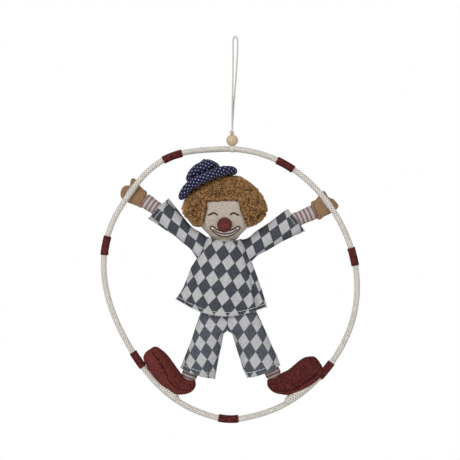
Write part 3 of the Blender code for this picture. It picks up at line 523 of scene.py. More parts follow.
class NodeBench:
    """Lays out the nodes of one material."""

    def __init__(self, name: str) -> None:
        """Starts a material with its shader."""
        self.material = bpy.data.materials.new(name)
        self.material.use_nodes = True
        self.tree = self.material.node_tree
        self.shader = self.tree.nodes["Principled BSDF"]

    def add(self, kind: str, **settings: object) -> bpy.types.Node:
        """A new node with settings; a setting that is a socket's name gives its value or what links to it."""
        node = self.tree.nodes.new(kind)
        for name, value in settings.items():
            label = name.replace("_", " ").title()
            if label in node.inputs:
                self.feed(node.inputs[label], value)
            else:
                setattr(node, name, value)
        return node

    def feed(self, target: bpy.types.NodeSocket, value: object) -> None:
        """Links a value or a socket to an input, or sets the input's own value."""
        source = value.socket if isinstance(value, Value) else value
        if isinstance(source, bpy.types.NodeSocket):
            self.tree.links.new(source, target)
        elif target.type == "RGBA":
            target.default_value = (*source, 1.0)
        else:
            target.default_value = source

    def sum(self, operation: str, *terms: object) -> Value:
        """The result of a sum on numbers or values."""
        node = self.add("ShaderNodeMath", operation=operation)
        for target, term in zip(node.inputs, terms):
            self.feed(target, term)
        return Value(self, node.outputs[0])

    def wave(self, phase: Value) -> Value:
        """A smooth wave from 0 to 1 with one crest in each unit of phase."""
        return self.sum("COSINE", phase * FULL_TURN) * 0.5 + 0.5

    def mix(self, share: object, first: object, second: object) -> bpy.types.NodeSocket:
        """One colour or the other, by a share."""
        node = self.add("ShaderNodeMix", data_type="RGBA")
        for name, value in (("Factor_Float", share), ("A_Color", first), ("B_Color", second)):
            self.feed(next(s for s in node.inputs if s.identifier == name), value)
        return next(s for s in node.outputs if s.identifier == "Result_Color")

    def tones(self, share: object, colour: Colour, dark: float, light: float) -> bpy.types.NodeSocket:
        """A colour from its dark to its light tone, by a share."""
        return self.mix(share, toned(colour, dark), toned(colour, light))

    def spread(self, value: object, low: float, high: float, least: float = 0.0, most: float = 1.0) -> Value:
        """A value from low to high, brought to least to most and held there."""
        node = self.add("ShaderNodeMapRange", value=value, from_min=low, from_max=high, to_min=least, to_max=most)
        return Value(self, node.outputs["Result"])

    def rough(self, grain: Value, least: float, most: float) -> Value:
        """The roughness that goes with a grain, from least to most."""
        return self.spread(grain, *GRAIN_RANGE, least, most)

    def place(self) -> bpy.types.NodeSocket:
        """The point on the piece, in metres."""
        return self.add("ShaderNodeTexCoord").outputs["Object"]

    def apart(self, vector: bpy.types.NodeSocket) -> tuple[Value, ...]:
        """The three parts of a vector."""
        return tuple(Value(self, part) for part in self.add("ShaderNodeSeparateXYZ", vector=vector).outputs)

    def flat(self, layer: str = CLOTH) -> tuple[Value, ...]:
        """The point's place on the flat cloth."""
        return self.apart(self.add("ShaderNodeUVMap", uv_map=layer).outputs["UV"])[:2]

    def grain(self, size: float, detail: float = 4.0, stretch: Triple = (1.0, 1.0, 1.0)) -> Value:
        """Noise from 0 to 1 with grains of a size in millimetres, longer where stretch is under 1."""
        scaled = self.add("ShaderNodeVectorMath", operation="MULTIPLY")
        self.feed(scaled.inputs[0], self.place())
        scaled.inputs[1].default_value = tuple(s / (size * MM) for s in stretch)
        cloud = self.add("ShaderNodeTexNoise", vector=scaled.outputs[0], scale=1.0, detail=detail, roughness=0.6)
        return Value(self, cloud.outputs["Fac"])

    def yarns(self, size: float, thin: float) -> tuple[Value, Value]:
        """Two grains of a size, drawn out up and across the cloth where thin is under 1."""
        return self.grain(size, stretch=(1.0, 1.0, thin)), self.grain(size, stretch=(thin, 1.0, 1.0))

    def finish(
        self,
        colour: object,
        height: object = None,
        depth: float = 0.1,
        roughness: object = 0.9,
        sheen: float = 0.0,
        gloss: float = 0.05,
    ) -> Material:
        """Feeds the shader.

        Args:
            colour: The base colour.
            height: The height of the surface, from 0 to 1.
            depth: How deep the relief is, in millimetres.
            roughness: The roughness.
            sheen: How much soft sheen the fibres give.
            gloss: How strongly the surface shines.

        Returns:
            The finished material.
        """
        settings = {
            "Base Color": colour, "Roughness": roughness, "Specular IOR Level": gloss,
            "Sheen Weight": sheen, "Sheen Roughness": 0.6,
        }
        if height is not None:
            bump = self.add("ShaderNodeBump", height=height, distance=depth * MM, strength=1.0)
            settings["Normal"] = bump.outputs["Normal"]
        for name, value in settings.items():
            self.feed(self.shader.inputs[name], value)
        return self.material


def toned(colour: Colour, share: float) -> Colour:
    """A colour made darker or lighter by a share."""
    return tuple(min(part * share, 1.0) for part in colour)


@dataclass(frozen=True)
class Finish:
    """A finish with a name; each kind lays out its own nodes."""

    name: str

    def material(self) -> Material:
        """Makes the material."""
        return self.paint(NodeBench(self.name))

    def paint(self, bench: NodeBench) -> Material:
        """Lays out the nodes of the finish."""
        raise NotImplementedError


@dataclass(frozen=True)
class TwistedCotton(Finish):
    """Cord or thread of twisted yarns, with painted shade that darkens the grooves between them."""

    colour: Colour
    # How far the painted shade darkens the grooves, as a share of the colour.
    groove: float = 0.62

    def paint(self, bench: NodeBench) -> Material:
        """Lays out the nodes of the finish."""
        phase, _ = bench.flat()
        fibre = bench.grain(0.35, stretch=(1.0, 1.0, 0.4))
        # Painted shade: the yarns' phase darkens the grooves between them.
        shade = bench.wave(phase) * 0.75 + fibre * 0.35
        colour = bench.tones(bench.spread(shade, 0.1, 0.95), self.colour, self.groove, 1.12)
        return bench.finish(colour, fibre, depth=0.08, roughness=bench.rough(fibre, 0.8, 0.98), sheen=0.03)


@dataclass(frozen=True)
class BraidedCotton(Finish):
    """A braided sleeve: two sets of yarns that cross over and under, with painted shade in the small gaps between them.
    """

    colour: Colour
    # The painted shade in the gaps between the yarns.
    gap: Colour

    def paint(self, bench: NodeBench) -> Material:
        """Lays out the nodes of the finish."""
        around, along = bench.flat()
        hole = bench.wave(around + along) * bench.wave(around - along)
        fibre = bench.grain(0.45)
        cloud = bench.grain(2.0, 3.0)
        open_hole = hole * bench.spread(cloud, 0.35, 0.65, 1.2, 0.6)
        shade = bench.spread(open_hole, 0.10, 0.80, 0.84, 0.10) + (fibre - 0.5) * 0.4 + (cloud - 0.5) * 0.7
        # Painted shade: the gaps between the yarns take the gap colour.
        colour = bench.mix(bench.spread(shade, 0.05, 0.95), self.gap, self.colour)
        return bench.finish(colour, fibre - hole, depth=0.25, roughness=bench.rough(fibre, 0.8, 1.0), sheen=0.02)


@dataclass(frozen=True)
class WoolFelt(Finish):
    """Pressed wool felt: matted fibres, cloudy in tone, with a soft nap. A print layer makes it paler or darker."""

    colour: Colour
    fleck: Colour

    def paint(self, bench: NodeBench) -> Material:
        """Lays out the nodes of the finish."""
        fibre = bench.grain(0.5, 6.0)
        clump = bench.grain(1.4, 3.0)
        cloud = bench.grain(5.0, 3.0)
        tone, _ = bench.flat(PRINT)
        shade = clump * 1.4 + fibre * 0.4 + cloud * 0.3 + tone * 0.12
        colour = bench.mix(bench.spread(shade, 0.82, 1.30), toned(self.colour, 0.42), self.fleck)
        return bench.finish(colour, fibre + clump, depth=0.45, roughness=bench.rough(fibre, 0.85, 1.0), gloss=0.02)


@dataclass(frozen=True)
class PlainWeave(Finish):
    """Plain woven cloth: warp and weft threads that show as a fine grid, with thicker slubs."""

    colour: Colour
    pitch: float = 0.7
    contrast: float = 0.82

    def paint(self, bench: NodeBench) -> Material:
        """Lays out the nodes of the finish."""
        across, _, up = bench.apart(bench.place())
        wobble = bench.grain(3.0, 2.0)
        warp, weft = (bench.wave(part / (self.pitch * MM) + wobble) for part in (across, up))
        slub, cross = bench.yarns(0.8, 0.25)
        clump = (bench.grain(1.5, 2.0) - 0.5) * 1.5
        shade = warp * weft * 0.3 + (slub + cross) * 0.5 + clump
        colour = bench.tones(bench.spread(shade, 0.25, 0.85), self.colour, self.contrast, 1.08)
        return bench.finish(colour, shade, depth=0.14, roughness=bench.rough(slub, 0.82, 0.96), sheen=0.02)


@dataclass(frozen=True)
class DiamondCanvas(Finish):
    """Cotton canvas with a print of dark and light diamonds; the dark ones spill a little over the light."""

    dark: Colour
    light: Colour
    pitch: float = 0.62
    spill: float = 0.027

    def paint(self, bench: NodeBench) -> Material:
        """Lays out the nodes of the finish."""
        across, up = bench.flat()
        weave = bench.wave(across / self.pitch) * bench.wave(up / self.pitch)
        slub, cross = bench.yarns(0.7, 0.22)
        marks = bench.flat(PRINT)
        swings = [bench.sum("SINE", part * math.pi) for part in marks]
        edge = bench.sum("MINIMUM", *(bench.sum("PINGPONG", part, 0.5) for part in marks))
        clump = (bench.grain(1.3, 2.0, (1.0, 1.0, 0.5)) - 0.5) * 1.1
        shade = weave * 0.25 + (slub + cross) * 0.5
        tone = bench.spread(shade + clump, 0.25, 0.9)
        dark = bench.tones(tone, self.dark, 0.58, 1.45)
        light = bench.tones(tone, self.light, 0.74, 1.16)
        wander = (slub - 0.5) * 0.06 + self.spill
        inside = bench.sum("SIGN", swings[0] * swings[1]) * edge + wander
        colour = bench.mix(bench.spread(inside, -0.02, 0.02), light, dark)
        return bench.finish(colour, shade, depth=0.10, roughness=bench.rough(slub, 0.84, 0.97), sheen=0.02)


@dataclass(frozen=True)
class DottedCotton(Finish):
    """Fine cotton with a print of small pale dots in a slanting grid."""

    colour: Colour
    dot: Colour
    spacing: float = 3.35
    dot_radius: float = 0.49

    def paint(self, bench: NodeBench) -> Material:
        """Lays out the nodes of the finish."""
        across, up = bench.flat()
        slant = self.spacing * math.sqrt(2.0)
        one, two = (bench.sum("FRACT", part / slant) - 0.5 for part in (across + up, across - up))
        reach = bench.sum("SQRT", one * one + two * two)
        edge = self.dot_radius / self.spacing
        dot = bench.spread(reach, edge * 0.75, edge * 1.3, 1.0, 0.0)
        slub, cross = bench.yarns(0.5, 0.4)
        weave = (slub + cross) * 0.5
        cloth = bench.tones(bench.spread(weave, 0.35, 0.65), self.colour, 0.62, 1.35)
        colour = bench.mix(dot, cloth, self.dot)
        return bench.finish(colour, weave, depth=0.12, roughness=bench.rough(slub, 0.8, 0.95), sheen=0.02)


@dataclass(frozen=True)
class StripedKnit(Finish):
    """Fine knit with even stripes across the limb."""

    colour: Colour
    stripe: Colour
    pitch: float
    start: float
    share: float = 0.48
    stitch_size: Pair = (0.9, 0.8)

    def paint(self, bench: NodeBench) -> Material:
        """Lays out the nodes of the finish."""
        around, along = bench.flat()
        wide, high = self.stitch_size
        fibre = bench.grain(0.6)
        wander = (fibre - 0.5) * 0.5 + along - self.start
        edge = math.cos(math.pi * self.share) * 0.5 + 0.5
        striped = bench.spread(bench.wave(wander / self.pitch), edge - 0.12, edge + 0.12)
        stitch = bench.wave(around / wide)
        loops = stitch * bench.wave(along / high + stitch * 0.5)
        tone = bench.spread(loops * 0.35 + fibre * 0.8, 0.2, 0.9)
        base = bench.tones(tone, self.colour, 0.8, 1.12)
        band = bench.tones(tone, self.stripe, 0.75, 1.2)
        return bench.finish(bench.mix(striped, base, band), loops + fibre, depth=0.16, roughness=0.92, sheen=0.03)


@dataclass(frozen=True)
class CurledWool(Finish):
    """Curly pile: each curl has its own tone with painted light and shade round its coil, and its strands are finely
    streaked.
    """

    dark: Colour
    light: Colour

    def paint(self, bench: NodeBench) -> Material:
        """Lays out the nodes of the finish."""
        # The print layer holds each curl's own tone together with its painted light and shade.
        tone, _ = bench.flat(PRINT)
        fibre = bench.grain(0.4, 5.0)
        shade = tone + fibre * 0.3 + (bench.grain(9.0, 2.0) - 1.0) * 0.3
        colour = bench.mix(bench.spread(shade, 0.0, 1.0), self.dark, self.light)
        return bench.finish(colour, fibre, depth=0.10, roughness=bench.rough(fibre, 0.7, 0.9), sheen=0.03)


@dataclass(frozen=True)
class BareWood(Finish):
    """Bare sanded wood with growth rings and pores."""

    early: Colour
    late: Colour
    ring_width: float = 2.6

    def paint(self, bench: NodeBench) -> Material:
        """Lays out the nodes of the finish."""
        across = bench.apart(bench.place())[0]
        drift = bench.grain(5.0, 3.0, (1.0, 1.0, 0.3))
        rings = bench.wave(across / (self.ring_width * MM) + drift * 2.2)
        pores = bench.grain(0.5, stretch=(1.0, 1.0, 0.12))
        colour = bench.mix(bench.spread(rings * 0.5 + pores * 0.6, 0.2, 0.85), self.early, self.late)
        return bench.finish(colour, pores, depth=0.05, roughness=bench.rough(pores, 0.5, 0.68), gloss=0.3)


@dataclass(frozen=True)
class DrawnSteel(Finish):
    """Plain drawn steel wire with fine lines along it."""

    colour: Colour

    def paint(self, bench: NodeBench) -> Material:
        """Lays out the nodes of the finish."""
        lines = bench.grain(0.4, stretch=(1.0, 0.3, 1.0))
        bench.shader.inputs["Metallic"].default_value = 1.0
        colour = bench.tones(lines, self.colour, 0.8, 1.15)
        return bench.finish(colour, lines, depth=0.02, roughness=bench.rough(lines, 0.3, 0.5), gloss=0.5)


class Finishes:
    """The finishes of the toy, each made once."""

    def __init__(self) -> None:
        """Makes every material."""
        self.cord = TwistedCotton("cotton_cord", (0.62, 0.58, 0.53)).material()
        # The tie's cotton is paler than the hanging cord's, with less shade in its grooves: partly its own whiter
        # colour, partly painted light that offsets the shade where it hugs the rope.
        self.tie_cotton_painted_light = TwistedCotton("tie_cotton_painted_light", (0.84, 0.81, 0.76), 0.85).material()
        self.thread = TwistedCotton("white_thread", (0.72, 0.70, 0.67)).material()
        self.dark_thread = TwistedCotton("dark_thread", (0.012, 0.011, 0.011)).material()
        self.brown_thread = TwistedCotton("brown_thread", (0.062, 0.017, 0.015)).material()
        self.rope = BraidedCotton("braided_rope", (0.745, 0.715, 0.665), (0.25, 0.215, 0.18)).material()
        self.rust_felt = WoolFelt("rust_felt", (0.074, 0.0140, 0.0130), (0.158, 0.038, 0.034)).material()
        self.red_felt = WoolFelt("red_felt", (0.100, 0.023, 0.020), (0.205, 0.062, 0.052)).material()
        self.linen = PlainWeave("cream_linen", (0.492, 0.43, 0.362), 0.7, 0.68).material()
        self.lip_linen = PlainWeave("pale_linen", (0.60, 0.54, 0.48), 0.7, 0.80).material()
        self.hand_cotton = PlainWeave("brown_cotton", (0.33, 0.198, 0.109), 0.55, 0.52).material()
        self.reverse = PlainWeave("canvas_reverse", (0.52, 0.51, 0.51)).material()
        self.canvas = DiamondCanvas("diamond_canvas", (0.058, 0.065, 0.077), (0.475, 0.47, 0.475)).material()
        # The trousers' copy of the diamond canvas has paler dark diamonds than the tunic's: painted light for the
        # stronger light from below on the legs.
        self.trouser_canvas_painted_light = DiamondCanvas(
            "diamond_canvas_legs_painted_light", (0.079, 0.088, 0.104), (0.475, 0.47, 0.48)
        ).material()
        self.dots = DottedCotton("navy_cotton", (0.017, 0.018, 0.050), (0.50, 0.51, 0.62)).material()
        self.arm_knit = StripedKnit("striped_knit", (0.50, 0.47, 0.455), (0.26, 0.150, 0.155), 4.3, 1.3).material()
        self.leg_knit = StripedKnit("striped_knit_leg", (0.42, 0.36, 0.345), (0.150, 0.080, 0.083), 3.7, 1.5).material()
        self.curls = CurledWool("brown_curls", (0.062, 0.025, 0.006), (0.53, 0.295, 0.122)).material()
        self.wood = BareWood("pale_wood", (0.64, 0.51, 0.36), (0.48, 0.36, 0.23)).material()
        self.steel = DrawnSteel("steel", (0.55, 0.55, 0.56)).material()


def settle(piece: Piece, body: Body, slot: str, *nodes: str) -> Piece:
    """Lets a piece ride on a body, hides the CAD nodes that it stands for and logs them.

    Args:
        piece: The piece, in its place.
        body: The body that carries it.
        slot: Not used.
        nodes: The CAD nodes that it replaces.

    Returns:
        The piece.
    """
    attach(piece, body.value)
    if nodes:
        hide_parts(*nodes)
    LOG.info("%s rides on %s for %s", piece.name, body.value, ", ".join(nodes) or "no node")
    return piece


# Hanging cord


@dataclass
class HangingCord:
    """The doubled cord with its knot, the bead, and the tie round the hoop."""

    finishes: Finishes
    radius: float = 0.65
    loop_radius: float = 0.75
    knot_middle: Triple = (-3.2, 0.0, -95.6)
    bead_middle: Triple = (-3.2, 0.0, -103.057)
    tie_middle: Triple = (-3.2, 0.0, -111.764)
    bead_radius: float = 5.9
    bore_radius: float = 2.0
    mouth_wide: float = 1.25
    mouth_narrow: float = 1.08
    mouth_depths: Pair = (0.1, 0.7)
    strand_offset: float = 0.95
    tie_ring: float = 3.15
    tie_span: Triple = (125.0, 416.0, 14.0)
    tie_top: float = -98.3
    tie_throat: float = -107.6
    knot_swell: float = 1.05
    knot_turns: float = 2.3
    knot_reach: Pair = (1.25, 0.25)
    knot_height: float = 2.9
    knot_over: Outline = (
        (0.9, -1.0, -1.9), (1.3, -1.75, -0.6), (0.2, -2.0, 0.5), (-1.1, -1.4, 1.4), (-0.5, -0.6, 2.0),
    )
    knot_stub: Outline = ((-0.2, -1.0, 0.3), (-1.3, -1.1, 0.5), (-2.0, -1.0, 0.75), (-2.7, -0.8, 0.7))
    route: Outline = (
        (-3.2, -0.95, -93.1), (-3.2, -0.95, -84.0), (-3.0, -1.0, -62.0), (-2.5, -1.0, -40.0), (-2.2, -0.6, -20.0),
        (-2.3, -0.2, -7.0), (-1.9, 0.0, -1.6), (0.0, 0.0, 0.65), (1.9, 0.0, -1.6), (2.3, 0.2, -7.0), (1.6, 0.6, -24.0),
        (0.4, 1.0, -42.0), (-1.4, 1.0, -64.0), (-2.6, 1.0, -82.0), (-3.2, 0.95, -93.1),
    )

    def build(self) -> None:
        """Makes the cord, the knot, the bead and the tie."""
        path = smooth_path(self.route, 400) * MM
        loop = Strand(self.loop_radius, 12, yarns=3, groove=0.16)
        cord = loop.piece("hanging_cord_twisted", self.finishes.cord, path)
        settle(cord, Body.CORD, "cotton_cord", "hanging_cord")
        pieces = [self.knot(), self.bead(), self.tie()]

    def knot(self) -> Piece:
        """The overhand knot: turns of cord round the strands, one strand over them, and the short end."""
        twist = Strand(self.radius * self.knot_swell, 10, yarns=3, groove=0.14)
        maker = MeshMaker()
        share = shares(90)
        angle = FULL_TURN * (self.knot_turns * share + 0.1)
        least, more = self.knot_reach
        reach = least + more * np.sin(math.pi * share)
        turns = np.stack([reach * np.cos(angle), reach * np.sin(angle), self.knot_height * (0.5 - share)], axis=1)
        for route in (turns, smooth_path(self.knot_over, 40), smooth_path(self.knot_stub, 20)):
            twist.add(maker, (route + np.asarray(self.knot_middle)) * MM, (0.3, 0.2, 1.0))
        return settle(maker.build("cord_knot_tied", self.finishes.cord), Body.KNOT, "cotton_cord", "cord_knot")

    def bead(self) -> Piece:
        """The turned wooden bead, with a bore whose mouths are eased."""
        columns, rows = 56, 36
        pole = math.asin(self.bore_radius * self.mouth_wide / self.bead_radius)
        tilt = np.linspace(pole, math.pi - pole, rows)
        profile = [(self.bead_radius * math.sin(a), self.bead_radius * math.cos(a)) for a in tilt]
        mouth = profile[-1][1]
        narrow = self.bore_radius * self.mouth_narrow
        first, second = self.mouth_depths
        profile += [(narrow, mouth + first), (self.bore_radius, mouth + second)]
        profile += [(self.bore_radius, -mouth - second), (narrow, -mouth - first)]
        grid = (turned(profile, columns) + np.asarray(self.bead_middle)) * MM
        bead = grid_piece("wooden_bead_turned", self.finishes.wood, grid, ring=True)
        return settle(bead, Body.BEAD, "pale_wood", "wooden_bead")

    def tie(self) -> Piece:
        """The strand that goes down through the bead, round the hoop and back up."""
        across, _, hoop_up = self.tie_middle
        angles = np.radians(np.arange(*self.tie_span))
        ring = [(across, self.tie_ring * math.cos(a), hoop_up + self.tie_ring * math.sin(a)) for a in angles]
        front = [(across, -self.strand_offset, up) for up in (self.tie_top, self.tie_throat)]
        back = [(across, self.strand_offset, up) for up in (self.tie_throat, self.tie_top)]
        path = smooth_path((*front, *ring, *back), 160) * MM
        twist = Strand(self.radius, 12, yarns=3, groove=0.16)
        loop = twist.piece("tie_loop_twisted", self.finishes.tie_cotton_painted_light, path, (1.0, 0.0, 0.0))
        return settle(loop, Body.TIE, "cotton_cord", "tie_loop")


# Hoop


@dataclass
class RopeHoop:
    """The hoop: a braided sleeve over a steel ring, felt bands, and the threads that hold the hands and feet."""

    finishes: Finishes
    middle: Pair = (-4.586, -244.142)
    radius: float = 129.1
    oval: Pair = (5.6, 111.0)
    lobe: Pair = (2.0, 28.6)
    corner: Pair = (1.55, -10.4)
    shoulder: Triple = (5.7, 119.5, 26.0)
    join_bulge: Triple = (1.4, -91.0, 14.0)
    rope_radius: float = 2.8
    carriers: int = 6
    braid_pick: float = 2.9
    braid_relief: float = 0.30
    band_angles: tuple[float, ...] = (115.0, 65.0, 11.5, -43.0, -91.0, -140.0, 164.0)
    band_length: float = 18.8
    band_wall: float = 0.75
    band_gap: float = 0.25
    band_flare: float = 0.22
    band_flare_inside: float = 0.6
    band_thinning: float = 0.35
    band_lap: Triple = (0.30, 0.42 * math.pi, 0.16)
    band_nap: Pair = (1.6, 0.12)
    hand_angles: Pair = (137.5, 39.2)
    hand_wrap_length: float = 9.0
    hand_wrap_turns: int = 17
    hand_wrap_lift: Triple = (0.28, 0.06, 0.37)
    thread_radius: float = 0.27
    foot_spans: tuple[Pair, Pair] = ((236.0, 245.2), (-65.2, -54.6))
    web_inset: float = 2.6
    web_roundness: float = 0.6
    web_swell: Pair = (0.35, 1.75)

    def reach(self, angle: Array) -> Array:
        """Distance from the hoop's middle to the rope's, in millimetres, at angles in degrees."""
        waves = ((2.0, self.oval), (3.0, self.lobe), (4.0, self.corner))
        out = self.radius + sum(size * np.cos(np.radians(n * (angle - axis))) for n, (size, axis) in waves)
        for size, axis, spread in (self.shoulder, self.join_bulge):
            away = np.abs((angle - axis + 180.0) % 360.0 - 180.0)
            out = out + size * np.cos(np.radians(90.0 * np.minimum(away / spread, 1.0))) ** 2
        return out

    def arc(self, angle: Array, inward: Array | float = 0.0) -> Array:
        """Points of the rope's middle, or inward of it, in metres."""
        out = self.reach(angle) - inward
        turn = np.radians(angle)
        flat = np.stack([self.middle[0] + out * np.cos(turn), self.middle[1] + out * np.sin(turn)], axis=1)
        return lifted(flat)

    def build(self) -> None:
        """Makes the sleeve, the bands and the threads, and gives the steel its finish."""
        self.rope()
        for number, angle in enumerate(self.band_angles, start=1):
            self.band(number, angle)
        for side, angle in zip(Side, self.hand_angles):
            self.hand_wrap(side, angle)
        for side, span in zip(Side, self.foot_spans):
            self.foot_web(side, span)
        for node in ("hoop_wire", "wire_ferrule"):
            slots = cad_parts[node].data.materials
            slots.clear()
            slots.append(self.finishes.steel)

    def braid(self, maker: MeshMaker, path: Array, reach: Array, sides: int, ring: bool) -> None:
        """Adds a braided skin round a path.

        Args:
            maker: The mesh in the making.
            path: Points of the skin's middle.
            reach: The skin's radius at each point, in millimetres.
            sides: How many points go round it.
            ring: Whether the path is closed.
        """
        laps = np.vstack([path, path[:1]]) if ring else path
        along = path_lengths(laps) / MM
        picks = along / self.braid_pick
        if ring:
            picks = picks * round(picks[-1]) / picks[-1]
        turn = np.linspace(0.0, FULL_TURN, sides + 1)
        around = np.broadcast_to(self.carriers * turn / FULL_TURN, (len(laps), sides + 1))
        down = np.broadcast_to(picks[:, None], around.shape)
        lean, back = around + down, around - down
        crest = 1.0 - (np.cos(math.pi * lean) * np.cos(math.pi * back)) ** 2
        rows = len(path)
        out = (reach[:, None] + self.braid_relief * (crest[:rows, :-1] - 0.5)) * MM
        across = spokes(path_sides(path, closed=ring), turn[:-1])
        places = np.stack([around, down], axis=2)
        maker.add_grid(path[:, None] + across * out[..., None], ring=ring, caps=not ring, flat={CLOTH: places})

    def rope(self) -> None:
        """The braided sleeve that covers the steel ring."""
        steps = 1560
        path = self.arc(np.linspace(0.0, 360.0, steps, endpoint=False))
        maker = MeshMaker()
        self.braid(maker, path, np.full(steps, self.rope_radius), 40, True)
        settle(maker.build("hoop_rope_braided", self.finishes.rope), Body.HOOP, "braided_rope", "hoop_rope")

    def band(self, number: int, angle: float) -> None:
        """One felt band wrapped round the rope, with its glued edge at the back."""
        columns, rows = 44, 26
        half = math.degrees(self.band_length * 0.5 / self.radius)
        path = self.arc(np.linspace(angle - half, angle + half, rows))
        share = np.linspace(-1.0, 1.0, rows)
        inner = self.rope_radius + self.band_gap
        flare = self.band_flare * np.abs(share) ** 6
        wall = self.band_wall * (1.0 - self.band_thinning * np.abs(share) ** 16)
        turn = full_turn(columns)
        lap_height, lap_middle, lap_width = self.band_lap
        lap = lap_height * bell(turn, lap_middle, lap_width)
        across = spokes(path_sides(path), turn)
        outside = path[:, None] + across * ((inner + flare + wall)[:, None] + lap[None])[..., None] * MM
        outside = napped(outside, self.band_nap, number, across)
        hollow = (inner + flare * self.band_flare_inside)[:, None] * np.ones(columns)
        inside = path[:, None] + across * hollow[..., None] * MM
        name = f"hoop_band_{number}"
        grid = np.concatenate([outside, inside[::-1]])
        piece = grid_piece(f"{name}_felt", self.finishes.rust_felt, grid, ring=True)
        settle(piece, Body.HOOP, "rust_felt", name)

    def hand_wrap(self, side: Side, angle: float) -> None:
        """Turns of thread that bind a hand to the rope."""
        turns = self.hand_wrap_turns
        lift, sway, pace = self.hand_wrap_lift
        half = math.degrees(self.hand_wrap_length * 0.5 / self.radius)
        share = shares(turns * 18)
        path = self.arc(angle - half + 2.0 * half * share)
        first, second = path_sides(path)
        turn = FULL_TURN * turns * share
        reach = (self.rope_radius + lift + sway * np.sin(turn * pace + angle)) * MM
        wound = path + (first * np.cos(turn)[:, None] + second * np.sin(turn)[:, None]) * reach[:, None]
        name = f"hand_stitch_{side.value}"
        thread = sewing_thread(self.thread_radius)
        piece = thread.piece(f"{name}_wound", self.finishes.thread, wound, (0.2, 0.3, 0.9))
        settle(piece, Body.HOOP, "cotton_cord", name)

    def foot_web(self, side: Side, span: Pair) -> None:
        """The swollen wrap of braid between the rope and a sole."""
        share = shares(40)
        rise = np.sin(math.pi * share) ** self.web_roundness
        path = self.arc(span[0] + (span[1] - span[0]) * share, self.web_inset * rise)
        least, more = self.web_swell
        maker = MeshMaker()
        self.braid(maker, path, self.rope_radius + least + more * rise, 40, False)
        name = f"foot_stitch_{side.value}"
        settle(maker.build(f"{name}_wound", self.finishes.rope), Body.HOOP, "cotton_cord", name)


# Clothes


@dataclass(frozen=True)
class DiamondLay:
    """How the diamond print lies on one cut: the middle of a dark diamond and the steps to the next dark ones."""

    middle: Pair
    row: Pair
    column: Pair

    def places(self, across: Array, up: Array) -> Array:
        """Places in the print, where each unit square is one diamond.

        Args:
            across: Millimetres across on the flat cloth.
            up: Millimetres up on it.

        Returns:
            The two print values of each point, on a last axis.
        """
        right, rise = across - self.middle[0], up - self.middle[1]
        size = self.row[0] * self.column[1] - self.row[1] * self.column[0]
        rows = (right * self.column[1] - rise * self.column[0]) / size
        columns = (rise * self.row[0] - right * self.row[1]) / size
        return np.stack([rows + columns + 0.5, rows - columns + 0.5], axis=-1)


@dataclass(frozen=True)
class Fold:
    """A crease down the cloth: where it lies across, where it starts, how deep it is, and its width on each side."""

    across: float
    start: float
    width: float
    depth: float
    beyond: float = 0.05


@dataclass(frozen=True)
class ClothTube:
    """A flattened tube of cloth between two edge lines.

    The edges run from the first row to the last, in millimetres across and up. Depths and the sharpness of the
    side seams are tables over the share of the way along, and hem is the share where its stitches lie. The flat
    size is in metres and the area of the cut in square metres.
    """

    first_edge: Outline
    second_edge: Outline
    lay: DiamondLay
    depths: Outline
    sharpness: Outline
    middle_depth: Outline
    dips: Outline
    flat_size: Pair
    area: float
    hem: float
    folds: tuple[Fold, ...] = ()
    hem_ripple: float = 0.0
    hem_waves: Outline = ((9.0, 1.3, 0.6), (5.0, 0.4, 0.4))
    gather: float = 0.0
    gather_reach: float = 0.08
    gather_waves: Outline = ((26.0, 0.0, 1.0), (17.0, 0.8, 0.6))
    dip_power: float = 1.12
    rows: int = 48
    columns: int = 112

    def grid(self) -> Array:
        """Points of the cloth; each row starts at the back and comes round by the second edge to the front."""
        one = smooth_path(self.first_edge, self.rows)
        two = smooth_path(self.second_edge, self.rows)
        share = shares(self.rows)[:, None]
        turn = np.linspace(-0.5 * math.pi, 1.5 * math.pi, self.columns, endpoint=False)[None]
        across, front = np.cos(turn), np.sin(turn)
        sharp = read_table(self.sharpness, share[:, 0])[:, None]
        depth = read_table(self.depths, share[:, 0])[:, None]
        bulge = rounded(front, sharp)
        for fold in self.folds:
            grown = np.clip((share - fold.start) / (1.0 - fold.start), 0.0, 1.0) ** 0.8
            width = np.where(across < fold.across, fold.width, fold.beyond)
            crease = bell(across, fold.across, width) * np.clip(front * 4.0, 0.0, 1.0)
            bulge = bulge - crease * grown * fold.depth / depth
        bulge = bulge + self.hem_ripple / depth * share**3 * waves(turn, self.hem_waves)
        bulge = bulge + self.gather / depth * bell(share, 0.0, self.gather_reach) * waves(turn, self.gather_waves)
        middle = (one + two)[:, None] * 0.5
        half = (two - one)[:, None] * 0.5
        flat = middle + half * across[..., None]
        dip = read_table(self.dips, share[:, 0])[:, None]
        heading = unit(np.gradient((one + two) * 0.5, axis=0))
        flat = flat + heading[:, None] * (dip * (1.0 - across**2) ** self.dip_power)[..., None]
        y = read_table(self.middle_depth, share[:, 0])[:, None] - depth * bulge
        return np.stack([flat[..., 0], y, flat[..., 1]], axis=2) * MM

    def places(self, grid: Array) -> dict[str, Array]:
        """The cloth and print places of the corners of a grid, from the middle of the front and of the back."""
        closed = np.concatenate([grid, grid[:, :1]], axis=1) / MM
        round_it = path_lengths(closed, 1)
        quarter = self.columns // 4
        edges = unit(closed[:, 3 * quarter] - closed[:, quarter])
        lengthways = np.stack([-edges[:, 2], np.zeros(len(edges)), edges[:, 0]], axis=1)
        flat = np.empty((*closed.shape[:2], 2))
        for middle, part, way in (
            (0, slice(0, quarter), -1.0),
            (2 * quarter, slice(quarter, 3 * quarter + 1), 1.0),
            (self.columns, slice(3 * quarter + 1, None), -1.0),
        ):
            aside = way * (round_it[:, part] - round_it[:, middle : middle + 1])
            drop = np.einsum("rcx,rx->rc", closed[:, part] - closed[:, middle : middle + 1], lengthways)
            for axis, plane in enumerate((0, 2)):
                start = closed[:, middle, plane][:, None]
                flat[:, part, axis] = start + aside * edges[:, plane, None] + drop * lengthways[:, plane, None]
        return {CLOTH: flat, PRINT: self.lay.places(flat[..., 0], flat[..., 1])}


